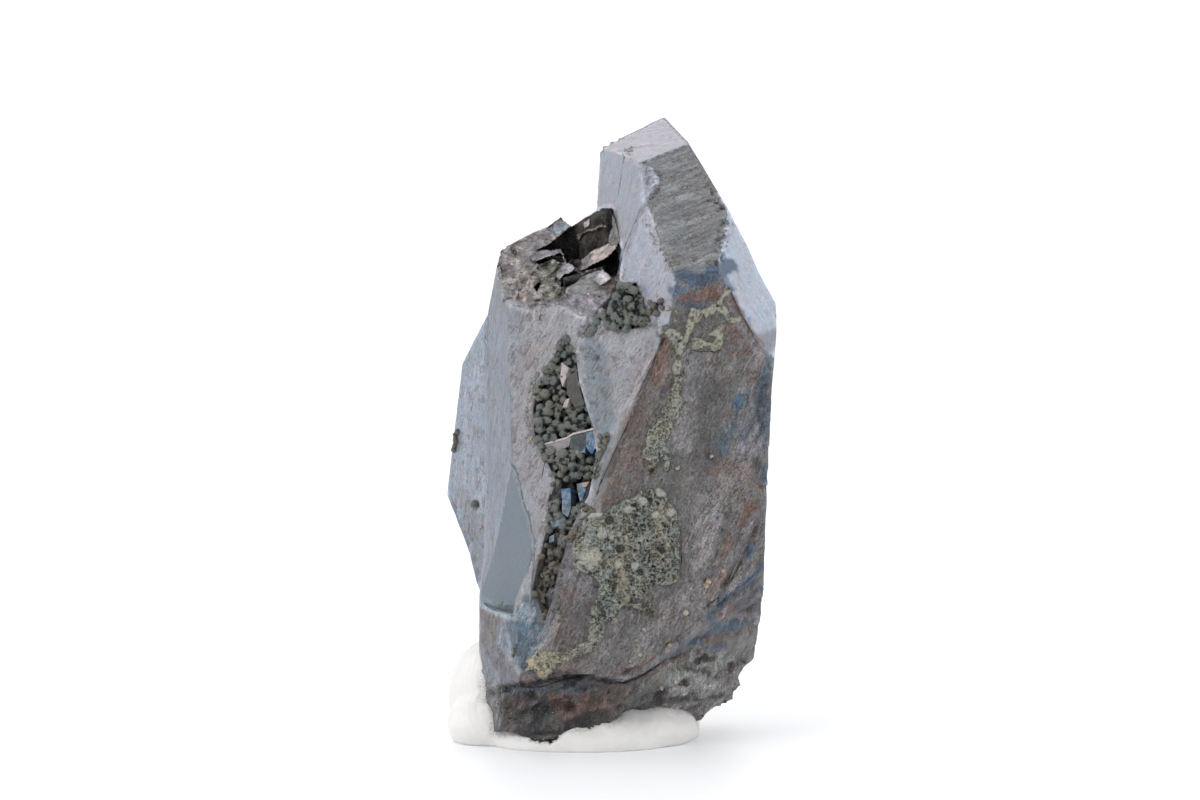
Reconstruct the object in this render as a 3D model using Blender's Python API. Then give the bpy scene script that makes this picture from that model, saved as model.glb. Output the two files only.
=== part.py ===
"""A ferberite specimen: two dark crystals grown together, standing in a lump of white putty.

Metres, +Z up. The side seen first looks towards -Y. The origin is on the surface that the putty
rests on, under the middle of the object. Places are written in millimetres and scaled by MM.
"""
import math
import random
from collections import namedtuple

import bmesh
import bpy
from mathutils import Matrix, Vector, noise

MM = 0.001
GAP = 0.3               # left between pieces that touch
BLOCK = 60.0            # half the side of the block a crystal is cut from
VUG_DEPTH = 2.6
TROUGH_DEPTH = 1.0
NOTCH_DEPTH = 2.5
HOLLOW_TAPER = 0.9      # how much a hollow narrows down to its floor
CENTRE = (-0.445, -0.5)  # the middle of the footprint, which the origin is put under
FINE_SOLVER = "MANIFOLD"  # from the toe on, where EXACT leaves open edges

# A flat face: a point on it, the compass direction it faces and how far it leans up.
# Facing 0 is towards -Y and 90 towards +X. Lean 0 is upright and 90 looks straight up.
Face = namedtuple("Face", "at facing lean")

# Faces that both crystals share.
FRONT_LEFT = Face((3.5, -7.7, 31.2), -27, 14)
FRONT_RIGHT = Face((-3.8, -9.8, 10.5), 13, 1)
RIGHT = Face((12.0, -5.9, 29.0), 95, -2.6)
STRIPED_LEFT = Face((-7.9, -3.5, 24.6), -66, 5)
BROKEN_TOP = Face((-8.2, -0.9, 33.9), -21, 39)
UNDER_LEDGE_RIGHT = Face((0.8, -8.8, 5.4), 37.6, -27.5)
BACK_RIGHT = Face((2.0, 5.6, 20.0), 160, 2)
BACK_LEFT = Face((-2.0, 6.0, 20.0), 177, 2)
FOOT = [
    Face((-6.3, -9.8, 5.6), -25, -22),
    Face((-1.8, -9.4, 6.0), 13, -22),
    UNDER_LEDGE_RIGHT,
    Face((11.0, -2.0, 6.4), 85, -24),
    Face((-9.0, 2.0, 4.0), -110, -30),
    Face((2.0, 5.1, 6.0), 165, -35),
    Face((0.0, 0.0, 1.3), 0, -90),
]

TALL_CRYSTAL = [
    Face((2.1, -2.9, 44.1), -31, 65),      # slanted top
    Face((2.1, -2.9, 44.1), 8, 29),        # striated slope under it
    Face((8.1, -5.9, 37.1), 45, 17),       # narrow pale face on the right
    Face((2.1, -2.9, 44.1), -52, 14),      # left side
    Face((2.5, -4.6, 41.0), -36, 9),       # small face low on the left
    Face((5.7, -1.7, 45.5), 98, 28),       # right shoulder
    Face((9.0, -4.0, 40.4), 95, 23.5),
    Face((3.9, 4.0, 47.3), -141, 19),
    Face((-1.0, 1.1, 44.9), -100, 0),
    Face((3.9, 4.0, 47.3), 150, 30),
    Face((10.0, 2.6, 20.0), 126, 0),
    FRONT_RIGHT,
    RIGHT,
    BACK_RIGHT,
] + FOOT

SHORT_CRYSTAL = [
    FRONT_LEFT,
    FRONT_RIGHT,
    STRIPED_LEFT,
    BROKEN_TOP,
    Face((1.0, 1.6, 40.4), 90, 20),        # falls away inside the tall crystal
    RIGHT,
    Face((-9.8, 2.1, 31.4), -95, 12.5),
    Face((-4.0, 2.6, 39.8), -149, 36),
    Face((-9.8, 2.1, 31.0), -120, -6),
    Face((-8.0, 5.5, 20.0), -160, 4),
    BACK_LEFT,
] + FOOT

LEFT_BLADE = [
    Face((-9.8, 2.1, 31.4), -48, 1),
    Face((-9.95, 4.0, 31.3), -95, 29),
    Face((-11.7, 5.2, 27.4), -92, 7.2),
    Face((-12.85, 5.2, 17.9), -90, -23),
    Face((-11.5, 6.0, 18.0), -155, 2),
    Face((-7.0, 4.0, 20.0), 105, 0),
    Face((-7.0, 4.0, 33.0), 30, 60),
    Face((-8.0, 5.5, 10.0), -165, -50),
    Face((-6.0, 4.0, 6.0), 0, -90),
]

TOE = [
    Face((-6.3, -9.6, 5.6), -25, -22),
    Face((-1.8, -9.2, 6.0), 13, -22),
    Face((-5.0, -7.2, 0.6), -76, -66),
    Face((-5.0, -7.2, 0.6), 75, -72),
    Face((-8.8, -6.0, 5.0), -80, -14),
    Face((-4.0, -2.0, 3.0), 180, -50),
    Face((0.0, 0.0, 4.5), 0, 90),
]

# The block that is missing under the right edge.
MISSING_CORNER = [
    Face((9.65, 0.0, 5.2), -85, 40),
    Face((9.65, 0.0, 5.2), -85, 9),
]

# Outlines of hollows and crusts: right and up along their face from the face's point.
VUG = [(-8.2, -0.1), (-9.0, -2.2), (-9.8, -4.2), (-10.1, -5.8), (-9.7, -7.8), (-8.4, -9.8),
       (-7.4, -11.4), (-7.8, -13.0), (-7.7, -14.8), (-5.6, -14.9), (-4.4, -12.2), (-4.1, -9.2),
       (-4.4, -7.6), (-5.2, -6.0), (-6.3, -3.6), (-6.9, -1.4)]
VUG_LEDGE = (Face((-2.5, -6.5, 22.6), FRONT_LEFT.facing, FRONT_LEFT.lean), 4.0, 0.7, 0.6)
LEDGE_TURN = 33
TROUGH = [(-7.7, -14.4), (-8.1, -17.3), (-8.4, -19.6), (-7.0, -22.0), (-6.5, -20.2),
          (-6.3, -18.3), (-5.6, -14.6)]
CLEAVAGE = Face((-7.8, -4.6, 21.8), -53, 1)
CLEAVAGE_OUTLINE = [(0.0, 0.4), (1.2, -1.6), (1.9, -3.1), (3.0, -5.6), (3.2, -7.4), (2.9, -9.6),
                    (2.5, -11.7), (-1.1, -11.6), (-5.0, -10.6), (-5.0, 0.4)]
TOP_HOLLOW = [(2.0, 3.7), (3.3, 5.8), (3.8, 6.2), (6.8, 7.9), (7.5, 7.8), (9.0, 1.2), (7.1, 2.5),
              (5.1, 2.3), (3.4, 3.2)]
NOTCH = Face((1.0, -6.5, 33.0), -10, 10)
NOTCH_OUTLINE = [(0.5, 2.5), (1.6, -0.1), (1.8, -0.6), (1.0, -1.2), (-0.3, -1.5), (-1.7, -0.7),
                 (-1.2, 0.9), (-0.8, 2.2)]
FACE_CRUST = [(6.0, 9.1), (7.4, 9.4), (8.7, 8.0), (9.0, 6.3), (9.1, 2.6), (7.3, 1.8), (6.3, -0.3),
              (3.8, -1.1), (2.9, 1.8), (0.9, 3.9), (1.2, 6.2), (3.1, 7.5)]
SHOULDER_CRUST = [(7.9, 21.0), (8.9, 21.6), (9.9, 22.7), (11.4, 22.9), (12.8, 23.9), (13.4, 22.2),
                  (12.4, 21.1), (12.1, 20.1), (11.2, 19.7), (9.9, 19.9), (8.9, 18.6), (8.5, 17.0),
                  (8.0, 15.0), (7.4, 13.2), (6.8, 11.6)]
FOOT_CRUST = [(-0.6, -3.0), (0.6, -2.9), (1.7, -2.5), (2.2, -1.5), (2.3, -0.5)]
LEFT_CRUST = [(-7.8, -25.5), (-6.9, -24.8), (-6.5, 0.2), (-5.8, 1.0), (-5.1, 1.7)]
TROUGH_LUMPS = [(-6.8, -15.5), (-7.3, -16.6), (-6.9, -17.7), (-7.5, -18.6), (-7.0, -19.7)]

# Each lobe of the putty: its middle and its radii.
PUTTY_LOBES = {
    "body": ((-2.5, 0.2, 0.6), (9.0, 9.0, 3.2)),
    "left": ((-8.6, 0.8, 3.2), (4.0, 4.6, 4.3)),
    "right": ((3.2, 0.6, 0.9), (3.4, 5.5, 2.0)),
    "rear": ((-1.0, 4.2, 2.2), (6.9, 4.4, 4.4)),
}

STONE = (0.085, 0.082, 0.088, 1.0)
CRUST = (0.055, 0.056, 0.042, 1.0)
PUTTY = (0.72, 0.70, 0.65, 1.0)


def direction(face):
    """The way the face points out, as a unit vector."""
    turn = math.radians(face.facing)
    lean = math.radians(face.lean)
    return Vector((math.sin(turn) * math.cos(lean), -math.cos(turn) * math.cos(lean), math.sin(lean)))


def face_frame(face):
    """Axes lying on a face: X to the right along it, Y up it and Z out of it."""
    out = direction(face)
    turn = math.radians(face.facing)
    right = Vector((math.cos(turn), math.sin(turn), 0.0))
    axes = Matrix((right, out.cross(right), out)).transposed().to_4x4()
    return Matrix.Translation(Vector(face.at) * MM) @ axes


def moved_out(face, distance):
    place = Vector(face.at) + direction(face) * distance
    return Face(tuple(place), face.facing, face.lean)


def on_face(face, along, up, out):
    """A face through a place given along, up and out of another face, and parallel to it."""
    place = face_frame(face) @ (Vector((along, up, out)) * MM)
    return Face(tuple(place / MM), face.facing, face.lean)


def outline_middle(outline):
    total = Vector((0.0, 0.0))
    for corner in outline:
        total += Vector(corner)
    return total / len(outline)


def inset(outline, distance):
    """The outline drawn in by a distance. Outlines run clockwise or the other way."""
    middle = outline_middle(outline)
    drawn_in = []
    for before, corner, after in zip(outline[-1:] + outline[:-1], outline, outline[1:] + outline[:1]):
        here = Vector(corner)
        first = (here - Vector(before)).normalized()
        second = (Vector(after) - here).normalized()
        inward = Vector((-(first + second).y, (first + second).x)).normalized()
        if inward.dot(middle - here) < 0 and not inside(outline, *(here + inward * 0.05)):
            inward = -inward
        drawn_in.append(tuple(here + inward * distance / max(0.5, math.sqrt((1 + first.dot(second)) / 2))))
    return drawn_in


def material(name, colour, roughness, metallic=0.0):
    made = bpy.data.materials.new(name)
    made.use_nodes = True
    shader = made.node_tree.nodes["Principled BSDF"]
    shader.inputs["Base Color"].default_value = colour
    shader.inputs["Roughness"].default_value = roughness
    shader.inputs["Metallic"].default_value = metallic
    made.diffuse_color = colour
    return made


def collection(name):
    made = bpy.data.collections.new(name)
    bpy.context.scene.collection.children.link(made)
    return made


def new_object(name, bm, home):
    mesh = bpy.data.meshes.new(name)
    bm.to_mesh(mesh)
    bm.free()
    obj = bpy.data.objects.new(name, mesh)
    home.objects.link(obj)
    if home.name == "helpers":
        obj.hide_render = True
        obj.display_type = "WIRE"
    return obj


def cut_flat(bm, face):
    """Removes what lies outside a face and closes the cut."""
    geometry = bm.verts[:] + bm.edges[:] + bm.faces[:]
    bmesh.ops.bisect_plane(
        bm, geom=geometry, dist=1e-7, clear_outer=True,
        plane_co=Vector(face.at) * MM, plane_no=direction(face),
    )
    rim = [edge for edge in bm.edges if edge.is_boundary]
    bmesh.ops.holes_fill(bm, edges=rim)
    bmesh.ops.recalc_face_normals(bm, faces=bm.faces[:])


def crystal_block(name, faces, home):
    """A block cut flat on each of the faces."""
    bm = bmesh.new()
    bmesh.ops.create_cube(bm, size=2 * BLOCK * MM)
    for face in faces:
        cut_flat(bm, face)
    return new_object(name, bm, home)


def prism(name, face, outline, above, depth, home, taper=1.0):
    """An outline on a face, run from above the face down to a depth under it."""
    middle = outline_middle(outline)
    bm = bmesh.new()
    corners = []
    for corner in outline:
        corners.append(bm.verts.new((corner[0] * MM, corner[1] * MM, above * MM)))
    lid = bm.faces.new(corners)
    grown = bmesh.ops.extrude_face_region(bm, geom=[lid])["geom"]
    base = [item for item in grown if isinstance(item, bmesh.types.BMVert)]
    bmesh.ops.translate(bm, vec=(0, 0, -(above + depth) * MM), verts=base)
    for corner in base:
        corner.co.x = (middle.x + (corner.co.x / MM - middle.x) * taper) * MM
        corner.co.y = (middle.y + (corner.co.y / MM - middle.y) * taper) * MM
    bmesh.ops.recalc_face_normals(bm, faces=bm.faces[:])
    bm.transform(face_frame(face))
    return new_object(name, bm, home)


def slab(name, face, width, height, thickness, home, turn=0.0):
    """A thin plate lying on a face, with its middle on the face's point."""
    bm = bmesh.new()
    bmesh.ops.create_cube(bm, size=MM)
    bmesh.ops.scale(bm, vec=(width, height, thickness), verts=bm.verts)
    spin = Matrix.Rotation(math.radians(turn), 4, "Z")
    bm.transform(face_frame(face) @ spin)
    return new_object(name, bm, home)


def rough_sheet(name, face, size, cells, relief, grain, home, steps=0.0, turn=0.0):
    """A thick sheet whose underside is uneven, to break off what stands above a face."""
    thickness = 6.0
    bm = bmesh.new()
    bmesh.ops.create_grid(bm, x_segments=cells[0], y_segments=cells[1], size=0.5)
    seed = Vector(face.at)
    for corner in bm.verts:
        corner.co.x *= size[0]
        corner.co.y *= size[1]
        spot = Vector((corner.co.x / grain[0], corner.co.y / grain[1], 0.0)) + seed
        rise = noise.fractal(spot, 0.9, 2.0, 3) * relief
        if steps:
            rise = math.floor(rise / steps + 0.5) * steps + 0.25 * (rise % steps)
        corner.co.z = rise
    top = bmesh.ops.extrude_face_region(bm, geom=bm.faces[:])["geom"]
    for item in top:
        if isinstance(item, bmesh.types.BMVert):
            item.co.z = thickness
    bmesh.ops.scale(bm, vec=(MM, MM, MM), verts=bm.verts)
    bmesh.ops.recalc_face_normals(bm, faces=bm.faces[:])
    spin = Matrix.Rotation(math.radians(turn), 4, "Z")
    bm.transform(face_frame(face) @ spin)
    return new_object(name, bm, home)


def inside(outline, x, y):
    """Whether a point lies inside an outline."""
    crossings = 0
    for (ax, ay), (bx, by) in zip(outline, outline[1:] + outline[:1]):
        if (ay > y) != (by > y) and x < ax + (y - ay) * (bx - ax) / (by - ay):
            crossings += 1
    return crossings % 2 == 1


def scattered(outline, spacing, chance):
    """Points in staggered rows over an outline, each nudged a little."""
    xs = [corner[0] for corner in outline]
    ys = [corner[1] for corner in outline]
    spots = []
    row = 0
    y = min(ys)
    while y <= max(ys):
        x = min(xs) + spacing * 0.5 * (row % 2)
        while x <= max(xs):
            spot = (x + chance.uniform(-0.25, 0.25) * spacing, y + chance.uniform(-0.25, 0.25) * spacing)
            if inside(outline, *spot):
                spots.append(spot)
            x += spacing
        y += spacing * 0.87
        row += 1
    return spots


def globules(name, face, lumps, home, detail=1):
    """Round lumps on a face. Each lump is its place along, up and out of the face, its radius and
    how far it stands out as a share of that radius."""
    bm = bmesh.new()
    for along, up, out, radius, squash in lumps:
        ball = bmesh.ops.create_icosphere(bm, subdivisions=detail, radius=radius)["verts"]
        bmesh.ops.rotate(bm, cent=(0, 0, 0), verts=ball, matrix=Matrix.Rotation(along * 3 + up, 3, "Z"))
        bmesh.ops.scale(bm, vec=(1, 1, squash), verts=ball)
        bmesh.ops.translate(bm, vec=(along, up, out), verts=ball)
    bmesh.ops.scale(bm, vec=(MM, MM, MM), verts=bm.verts)
    bm.transform(face_frame(face))
    return new_object(name, bm, home)


def apart(lumps):
    """Sorts lumps into groups in which none touches another, as a Boolean union needs."""
    groups = []
    for lump in lumps:
        for group in groups:
            if all(math.dist(lump[:2], other[:2]) > lump[3] + other[3] for other in group):
                group.append(lump)
                break
        else:
            groups.append([lump])
    return groups


def combine(target, operand, operation, solver="EXACT"):
    step = target.modifiers.new(operand.name, "BOOLEAN")
    step.operation = operation
    step.object = operand
    step.solver = solver


def join_lumps(target, name, face, lumps, helpers):
    for number, group in enumerate(apart(lumps)):
        balls = globules(name + "_" + str(number + 1), face, group, helpers)
        combine(target, balls, "UNION", FINE_SOLVER)


def broken_top(crystal, helpers):
    """The hollow in the short crystal's broken top."""
    lowered = [
        Face((-3.14, 1.6, 39.0), 90, -61),
        Face((-3.5, 1.6, 39.0), -90, 0),
        Face((3.0, 0.0, 39.0), 90, 0),
        Face((0.0, 6.0, 39.0), 180, 0),
        Face((0.0, -3.0, 39.0), 0, 0),
        Face((0.0, 0.0, 46.0), 0, 90),
    ]
    combine(crystal, crystal_block("lowered_crest", lowered, helpers), "DIFFERENCE")
    hollow = prism("top_hollow", BROKEN_TOP, TOP_HOLLOW, 4.0, 4.5, helpers, taper=0.8)
    combine(crystal, hollow, "DIFFERENCE")


def growth_steps(crystal, helpers):
    """Low steps on the faces, where one layer of the crystal stops short of the next."""
    for name, face, size, turn in (
        ("step_back_high", Face((3.2, 5.0, 30.0), 160, 2), (5.0, 16.0, 0.9), 3),
        ("step_back_low", Face((-3.0, 6.0, 17.0), 177, 2), (4.5, 15.0, 0.9), -4),
        ("step_back_right", Face((10.8, 1.4, 21.0), 126, 0), (1.6, 20.0, 0.7), 2),
    ):
        combine(crystal, slab(name, face, *size, helpers, turn), "UNION", FINE_SOLVER)


def hollows(crystal, helpers):
    """The groove down the front with its ledge, the flat cleavage and the notch."""
    cleavage = prism("cleavage", CLEAVAGE, CLEAVAGE_OUTLINE, 4.0, 0.0, helpers)
    combine(crystal, cleavage, "DIFFERENCE", FINE_SOLVER)
    groove = prism("vug", FRONT_LEFT, VUG, 1.0, VUG_DEPTH, helpers, taper=HOLLOW_TAPER)
    combine(crystal, groove, "DIFFERENCE", FINE_SOLVER)
    trough = prism("trough", FRONT_LEFT, TROUGH, 1.0, TROUGH_DEPTH, helpers, taper=HOLLOW_TAPER)
    combine(crystal, trough, "DIFFERENCE", FINE_SOLVER)
    notch = prism("notch", NOTCH, NOTCH_OUTLINE, 3.0, NOTCH_DEPTH, helpers, taper=HOLLOW_TAPER)
    combine(crystal, notch, "DIFFERENCE", FINE_SOLVER)
    combine(crystal, slab("vug_ledge", *VUG_LEDGE, helpers, LEDGE_TURN), "UNION", FINE_SOLVER)


def breaks(crystal, helpers):
    """The uneven breaks on the short crystal's rim, under the ledge and beneath the crystal, and
    the nicks in the right edge."""
    rim = Face((-6.3, -0.2, 35.9), BROKEN_TOP.facing, BROKEN_TOP.lean)
    right = Face((7.2, -4.2, 6.3), UNDER_LEDGE_RIGHT.facing, UNDER_LEDGE_RIGHT.lean)
    for name, face, size, cells, relief, grain, steps, turn in (
        ("rough_rim", rim, (7.5, 6.5), (16, 14), 0.9, (2.6, 1.2), 0.3, 28),
        ("break_right", right, (18.0, 11.0), (20, 14), 0.9, (3.2, 1.6), 0.0, 20),
        ("break_front", Face((-3.1, -8.7, 3.9), 3, -22), (12.0, 5.0), (16, 8), 0.6, (3.0, 1.0), 0.0, -4),
        ("break_under", Face((8.3, -0.5, 2.3), 90, -56), (16.0, 9.0), (14, 10), 0.6, (3.4, 3.0), 0.0, 0),
    ):
        rough = rough_sheet(name, face, size, cells, relief, grain, helpers, steps, turn)
        combine(crystal, rough, "DIFFERENCE", FINE_SOLVER)
    for name, face, size, turn in (
        ("nick_high", Face((11.85, -5.9, 22.3), 54, 12), (0.9, 1.1, 0.5), 12),
        ("nick_middle", Face((11.77, -5.9, 20.7), 54, -14), (0.9, 0.8, 0.6), 30),
        ("nick_low", Face((11.65, -6.0, 19.3), 54, 16), (0.9, 1.2, 0.4), -8),
    ):
        combine(crystal, slab(name, face, *size, helpers, turn), "DIFFERENCE", FINE_SOLVER)


def plates(crystal, helpers):
    """Thin plates standing in the broken top."""
    for name, face, size, turn in (
        ("crest_plate", Face((-4.4, 2.4, 38.4), -15, 25), (2.4, 1.6, 0.3), 33),
        ("inner_ledge", Face((-1.3, 0.0, 36.4), -10, 48), (4.2, 1.5, 0.5), 28),
        ("rear_plate", Face((-1.4, 2.6, 38.0), -20, 8), (3.8, 3.6, 0.5), 24),
        ("side_plate", Face((-0.3, 1.6, 38.2), -60, 5), (2.0, 3.6, 0.4), 4),
        ("left_plate", Face((-5.0, 0.2, 36.2), -25, 58), (2.6, 1.3, 0.4), 14),
        ("lower_plate", Face((-3.5, -1.3, 35.8), -25, 55), (2.0, 1.3, 0.5), 22),
        ("front_block", Face((-1.6, -3.2, 34.6), -20, 48), (3.9, 2.2, 1.6), 24),
    ):
        combine(crystal, slab(name, face, *size, helpers, turn), "UNION", FINE_SOLVER)


def face_crusts(crystal, helpers):
    """Low lumpy crusts fused to the front: on the face, round the shoulder and above the foot."""
    chance = random.Random(5)
    right_lumps = []
    for along, up in scattered(FACE_CRUST, 1.5, chance):
        right_lumps.append((along, up, -0.15, chance.uniform(0.75, 1.1), 0.5))
    for along, up in SHOULDER_CRUST:
        right_lumps.append((along, up, -0.1, chance.uniform(0.55, 0.7), 0.5))
    for along, up in FOOT_CRUST:
        right_lumps.append((along, up, -0.1, chance.uniform(0.5, 0.7), 0.6))
    left_lumps = []
    for along, up in LEFT_CRUST:
        left_lumps.append((along, up, -0.1, chance.uniform(0.4, 0.5), 0.9))
    for along, up in TROUGH_LUMPS:
        left_lumps.append((along, up, -TROUGH_DEPTH, chance.uniform(0.55, 0.65), 1.0))
    join_lumps(crystal, "right_lumps", FRONT_RIGHT, right_lumps, helpers)
    join_lumps(crystal, "left_lumps", FRONT_LEFT, left_lumps, helpers)


def make_crystal(parts, helpers):
    crystal = crystal_block("ferberite_crystal", SHORT_CRYSTAL, parts)
    combine(crystal, crystal_block("left_blade", LEFT_BLADE, helpers), "UNION")
    broken_top(crystal, helpers)
    combine(crystal, crystal_block("tall_crystal", TALL_CRYSTAL, helpers), "UNION")
    combine(crystal, crystal_block("toe", TOE, helpers), "UNION", FINE_SOLVER)
    combine(crystal, crystal_block("missing_corner", MISSING_CORNER, helpers), "DIFFERENCE", FINE_SOLVER)
    growth_steps(crystal, helpers)
    hollows(crystal, helpers)
    breaks(crystal, helpers)
    plates(crystal, helpers)
    face_crusts(crystal, helpers)
    crystal.data.materials.append(material("ferberite", STONE, 0.35, 0.5))
    return crystal


def make_crust(name, face, outline, depth, level_depth, tilt, spacing, radius, seed, parts, helpers):
    """Globules packed over a bed on the floor of a hollow. The bed tilts down to the right."""
    middle = outline_middle(outline)
    level = on_face(face, middle.x, middle.y, -level_depth)
    level = Face(level.at, face.facing + tilt, face.lean)
    within = inset(outline, GAP)
    crust = prism(name, face, within, 0.0, depth - GAP, parts, HOLLOW_TAPER)
    bed = bmesh.new()
    bed.from_mesh(crust.data)
    cut_flat(bed, level)
    bed.to_mesh(crust.data)
    bed.free()
    chance = random.Random(seed)
    local = [(corner[0] - middle.x, corner[1] - middle.y) for corner in outline]
    lumps = []
    for along, up in scattered(local, spacing, chance):
        lumps.append((along, up, 0.15, radius * chance.uniform(0.85, 1.15), 1.0))
    join_lumps(crust, name + "_lumps", level, lumps, helpers)
    room = prism(name + "_room", face, within, 0.0, depth - GAP, helpers, HOLLOW_TAPER)
    combine(crust, room, "INTERSECT", FINE_SOLVER)
    crust.data.materials.append(material(name, CRUST, 0.6))
    return crust


def lobe(name, middle, radii, home):
    """One rounded lump of the putty."""
    bm = bmesh.new()
    bmesh.ops.create_uvsphere(bm, u_segments=24, v_segments=12, radius=MM)
    bmesh.ops.scale(bm, vec=radii, verts=bm.verts)
    bmesh.ops.translate(bm, vec=Vector(middle) * MM, verts=bm.verts)
    return new_object(name, bm, home)


def make_putty(parts, helpers):
    """The putty: joined lobes with a flat underside and a socket that the crystal sits in."""
    putty = lobe("mounting_putty", *PUTTY_LOBES["body"], parts)
    for name in ("left", "right", "rear"):
        combine(putty, lobe("putty_" + name, *PUTTY_LOBES[name], helpers), "UNION", FINE_SOLVER)
    below = [Face((0, 0, 0), 0, 90)]
    combine(putty, crystal_block("table", below, helpers), "DIFFERENCE", FINE_SOLVER)
    for name, faces in (
        ("socket_short", SHORT_CRYSTAL),
        ("socket_tall", TALL_CRYSTAL),
        ("socket_toe", TOE),
        ("socket_blade", LEFT_BLADE),
    ):
        wider = [moved_out(face, GAP) for face in faces]
        combine(putty, crystal_block(name, wider, helpers), "DIFFERENCE", FINE_SOLVER)
    putty.data.materials.append(material("putty", PUTTY, 0.7))
    return putty


def main():
    for obj in list(bpy.data.objects):
        bpy.data.objects.remove(obj)
    parts = collection("ferberite")
    helpers = collection("helpers")
    make_crystal(parts, helpers)
    vug_crust = make_crust("vug_crust", FRONT_LEFT, VUG, VUG_DEPTH, 1.5, 12, 0.95, 0.5, 3, parts, helpers)
    face, width, height, thickness = VUG_LEDGE
    wide = [size + 2 * GAP for size in (width, height, thickness)]
    combine(vug_crust, slab("ledge_room", face, *wide, helpers, LEDGE_TURN), "DIFFERENCE", FINE_SOLVER)
    make_crust("notch_crust", NOTCH, NOTCH_OUTLINE, NOTCH_DEPTH, 1.0, 0, 0.9, 0.45, 11, parts, helpers)
    make_putty(parts, helpers)
    for obj in bpy.data.objects:
        obj.location = (-CENTRE[0] * MM, -CENTRE[1] * MM, 0.0)


if __name__ == "__main__":
    main()
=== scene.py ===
import math
import random
from collections import namedtuple
from types import SimpleNamespace

import bmesh
import bpy
import numpy as np
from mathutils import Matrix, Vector
from mathutils.bvhtree import BVHTree


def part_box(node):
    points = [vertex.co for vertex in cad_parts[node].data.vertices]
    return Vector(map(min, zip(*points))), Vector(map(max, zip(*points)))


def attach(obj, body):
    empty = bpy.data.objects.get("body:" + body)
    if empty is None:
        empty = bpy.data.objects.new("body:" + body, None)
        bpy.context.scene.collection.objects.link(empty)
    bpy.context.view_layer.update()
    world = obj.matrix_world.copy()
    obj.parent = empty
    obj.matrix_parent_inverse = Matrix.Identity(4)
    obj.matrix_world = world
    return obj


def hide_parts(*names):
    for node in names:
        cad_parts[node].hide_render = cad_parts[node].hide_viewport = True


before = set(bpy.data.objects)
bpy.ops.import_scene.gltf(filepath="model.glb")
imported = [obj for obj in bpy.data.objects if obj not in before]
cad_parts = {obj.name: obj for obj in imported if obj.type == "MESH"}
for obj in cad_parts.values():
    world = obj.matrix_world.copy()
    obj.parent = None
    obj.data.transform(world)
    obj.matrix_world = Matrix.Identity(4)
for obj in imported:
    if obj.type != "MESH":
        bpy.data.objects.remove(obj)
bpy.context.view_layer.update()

# Places are in millimetres from the part's own modelling origin, and pixels (u, v) are those of the
# 1200 x 800 view that the camera below gives. CENTRE is where the frame's origin is in those millimetres.
MM = 0.001
CENTRE = np.array((-0.445, -0.5, 0.0))
TARGET = np.array((-1.0, 0.0, 25.8))
DISTANCE = 344.0
ELEVATION = math.radians(5.0)
LENS = 135.0
SENSOR = 36.0
VIEW_WIDTH = 1200
MIDDLE_U, MIDDLE_V = 600, 400
FOCAL_PX = LENS / SENSOR * VIEW_WIDTH
ACROSS = np.array((1.0, 0.0, 0.0))
LOOK = np.array((0.0, math.cos(ELEVATION), -math.sin(ELEVATION)))
UP = np.array((0.0, math.sin(ELEVATION), math.cos(ELEVATION)))
EYE = TARGET - LOOK * DISTANCE
RIDGE_PITCH = 0.48  # of the fingerprint in the putty, in mm

# A flat face: a point on it, the compass direction it faces and how far it leans up.
Face = namedtuple("Face", "at facing lean")

# A face's look: the angle of its striations in degrees from level, how strong these are, the tint, the
# roughness and how worn and grainy it is.
Facet = namedtuple("Facet", "face angle streak tint gloss wear")

FACETS = {
    # The top face's pale tint also holds painted sheen: the grazing reflection of the bright sky behind it.
    "top": Facet(Face((2.1, -2.9, 44.1), -31, 65), 22, 0.40, (0.36, 0.36, 0.41), 0.40, 0.15),
    "slope": Facet(Face((2.1, -2.9, 44.1), 8, 29), 21, 1.0, (0.172, 0.182, 0.19), 0.48, 0.5),
    "tall_left": Facet(Face((2.1, -2.9, 44.1), -52, 14), 88, 0.15, (0.262, 0.28, 0.33), 0.42, 0.1),
    "low_left": Facet(Face((2.5, -4.6, 41.0), -36, 9), 70, 0.10, (0.315, 0.33, 0.385), 0.42, 0.15),
    "pale_right": Facet(Face((8.1, -5.9, 37.1), 45, 17), 115, 0.10, (0.37, 0.42, 0.50), 0.36, 0.1),
    "front_right": Facet(Face((-3.8, -9.8, 10.5), 13, 1), 64, 0.45, (0.134, 0.128, 0.126), 0.56, 1.0),
    "front_left": Facet(Face((3.5, -7.7, 31.2), -27, 14), 64, 0.25, (0.245, 0.245, 0.262), 0.50, 0.32),
    "striped": Facet(Face((-7.9, -3.5, 24.6), -66, 5), 90, 0.45, (0.185, 0.212, 0.255), 0.44, 0.25),
    "blade": Facet(Face((-9.8, 2.1, 31.4), -48, 1), 86, 0.30, (0.264, 0.302, 0.355), 0.46, 0.3),
    "cleavage": Facet(Face((-7.8, -4.6, 21.8), -53, 1), 60, 0.03, (0.118, 0.152, 0.182), 0.34, 0.0),
    "right": Facet(Face((12.0, -5.9, 29.0), 95, -2.6), 90, 0.5, (0.17, 0.17, 0.19), 0.48, 0.6),
    "shoulder": Facet(Face((5.7, -1.7, 45.5), 98, 28), 90, 0.3, (0.22, 0.22, 0.25), 0.44, 0.4),
    "back_right": Facet(Face((2.0, 5.6, 20.0), 160, 2), 90, 0.5, (0.16, 0.155, 0.165), 0.48, 0.7),
    "back_left": Facet(Face((-2.0, 6.0, 20.0), 177, 2), 90, 0.5, (0.165, 0.155, 0.16), 0.50, 0.8),
}
OTHER = Facet(Face((0.0, 0.0, 0.0), 0, 0), 90, 0.3, (0.15, 0.145, 0.15), 0.52, 0.7)

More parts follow.
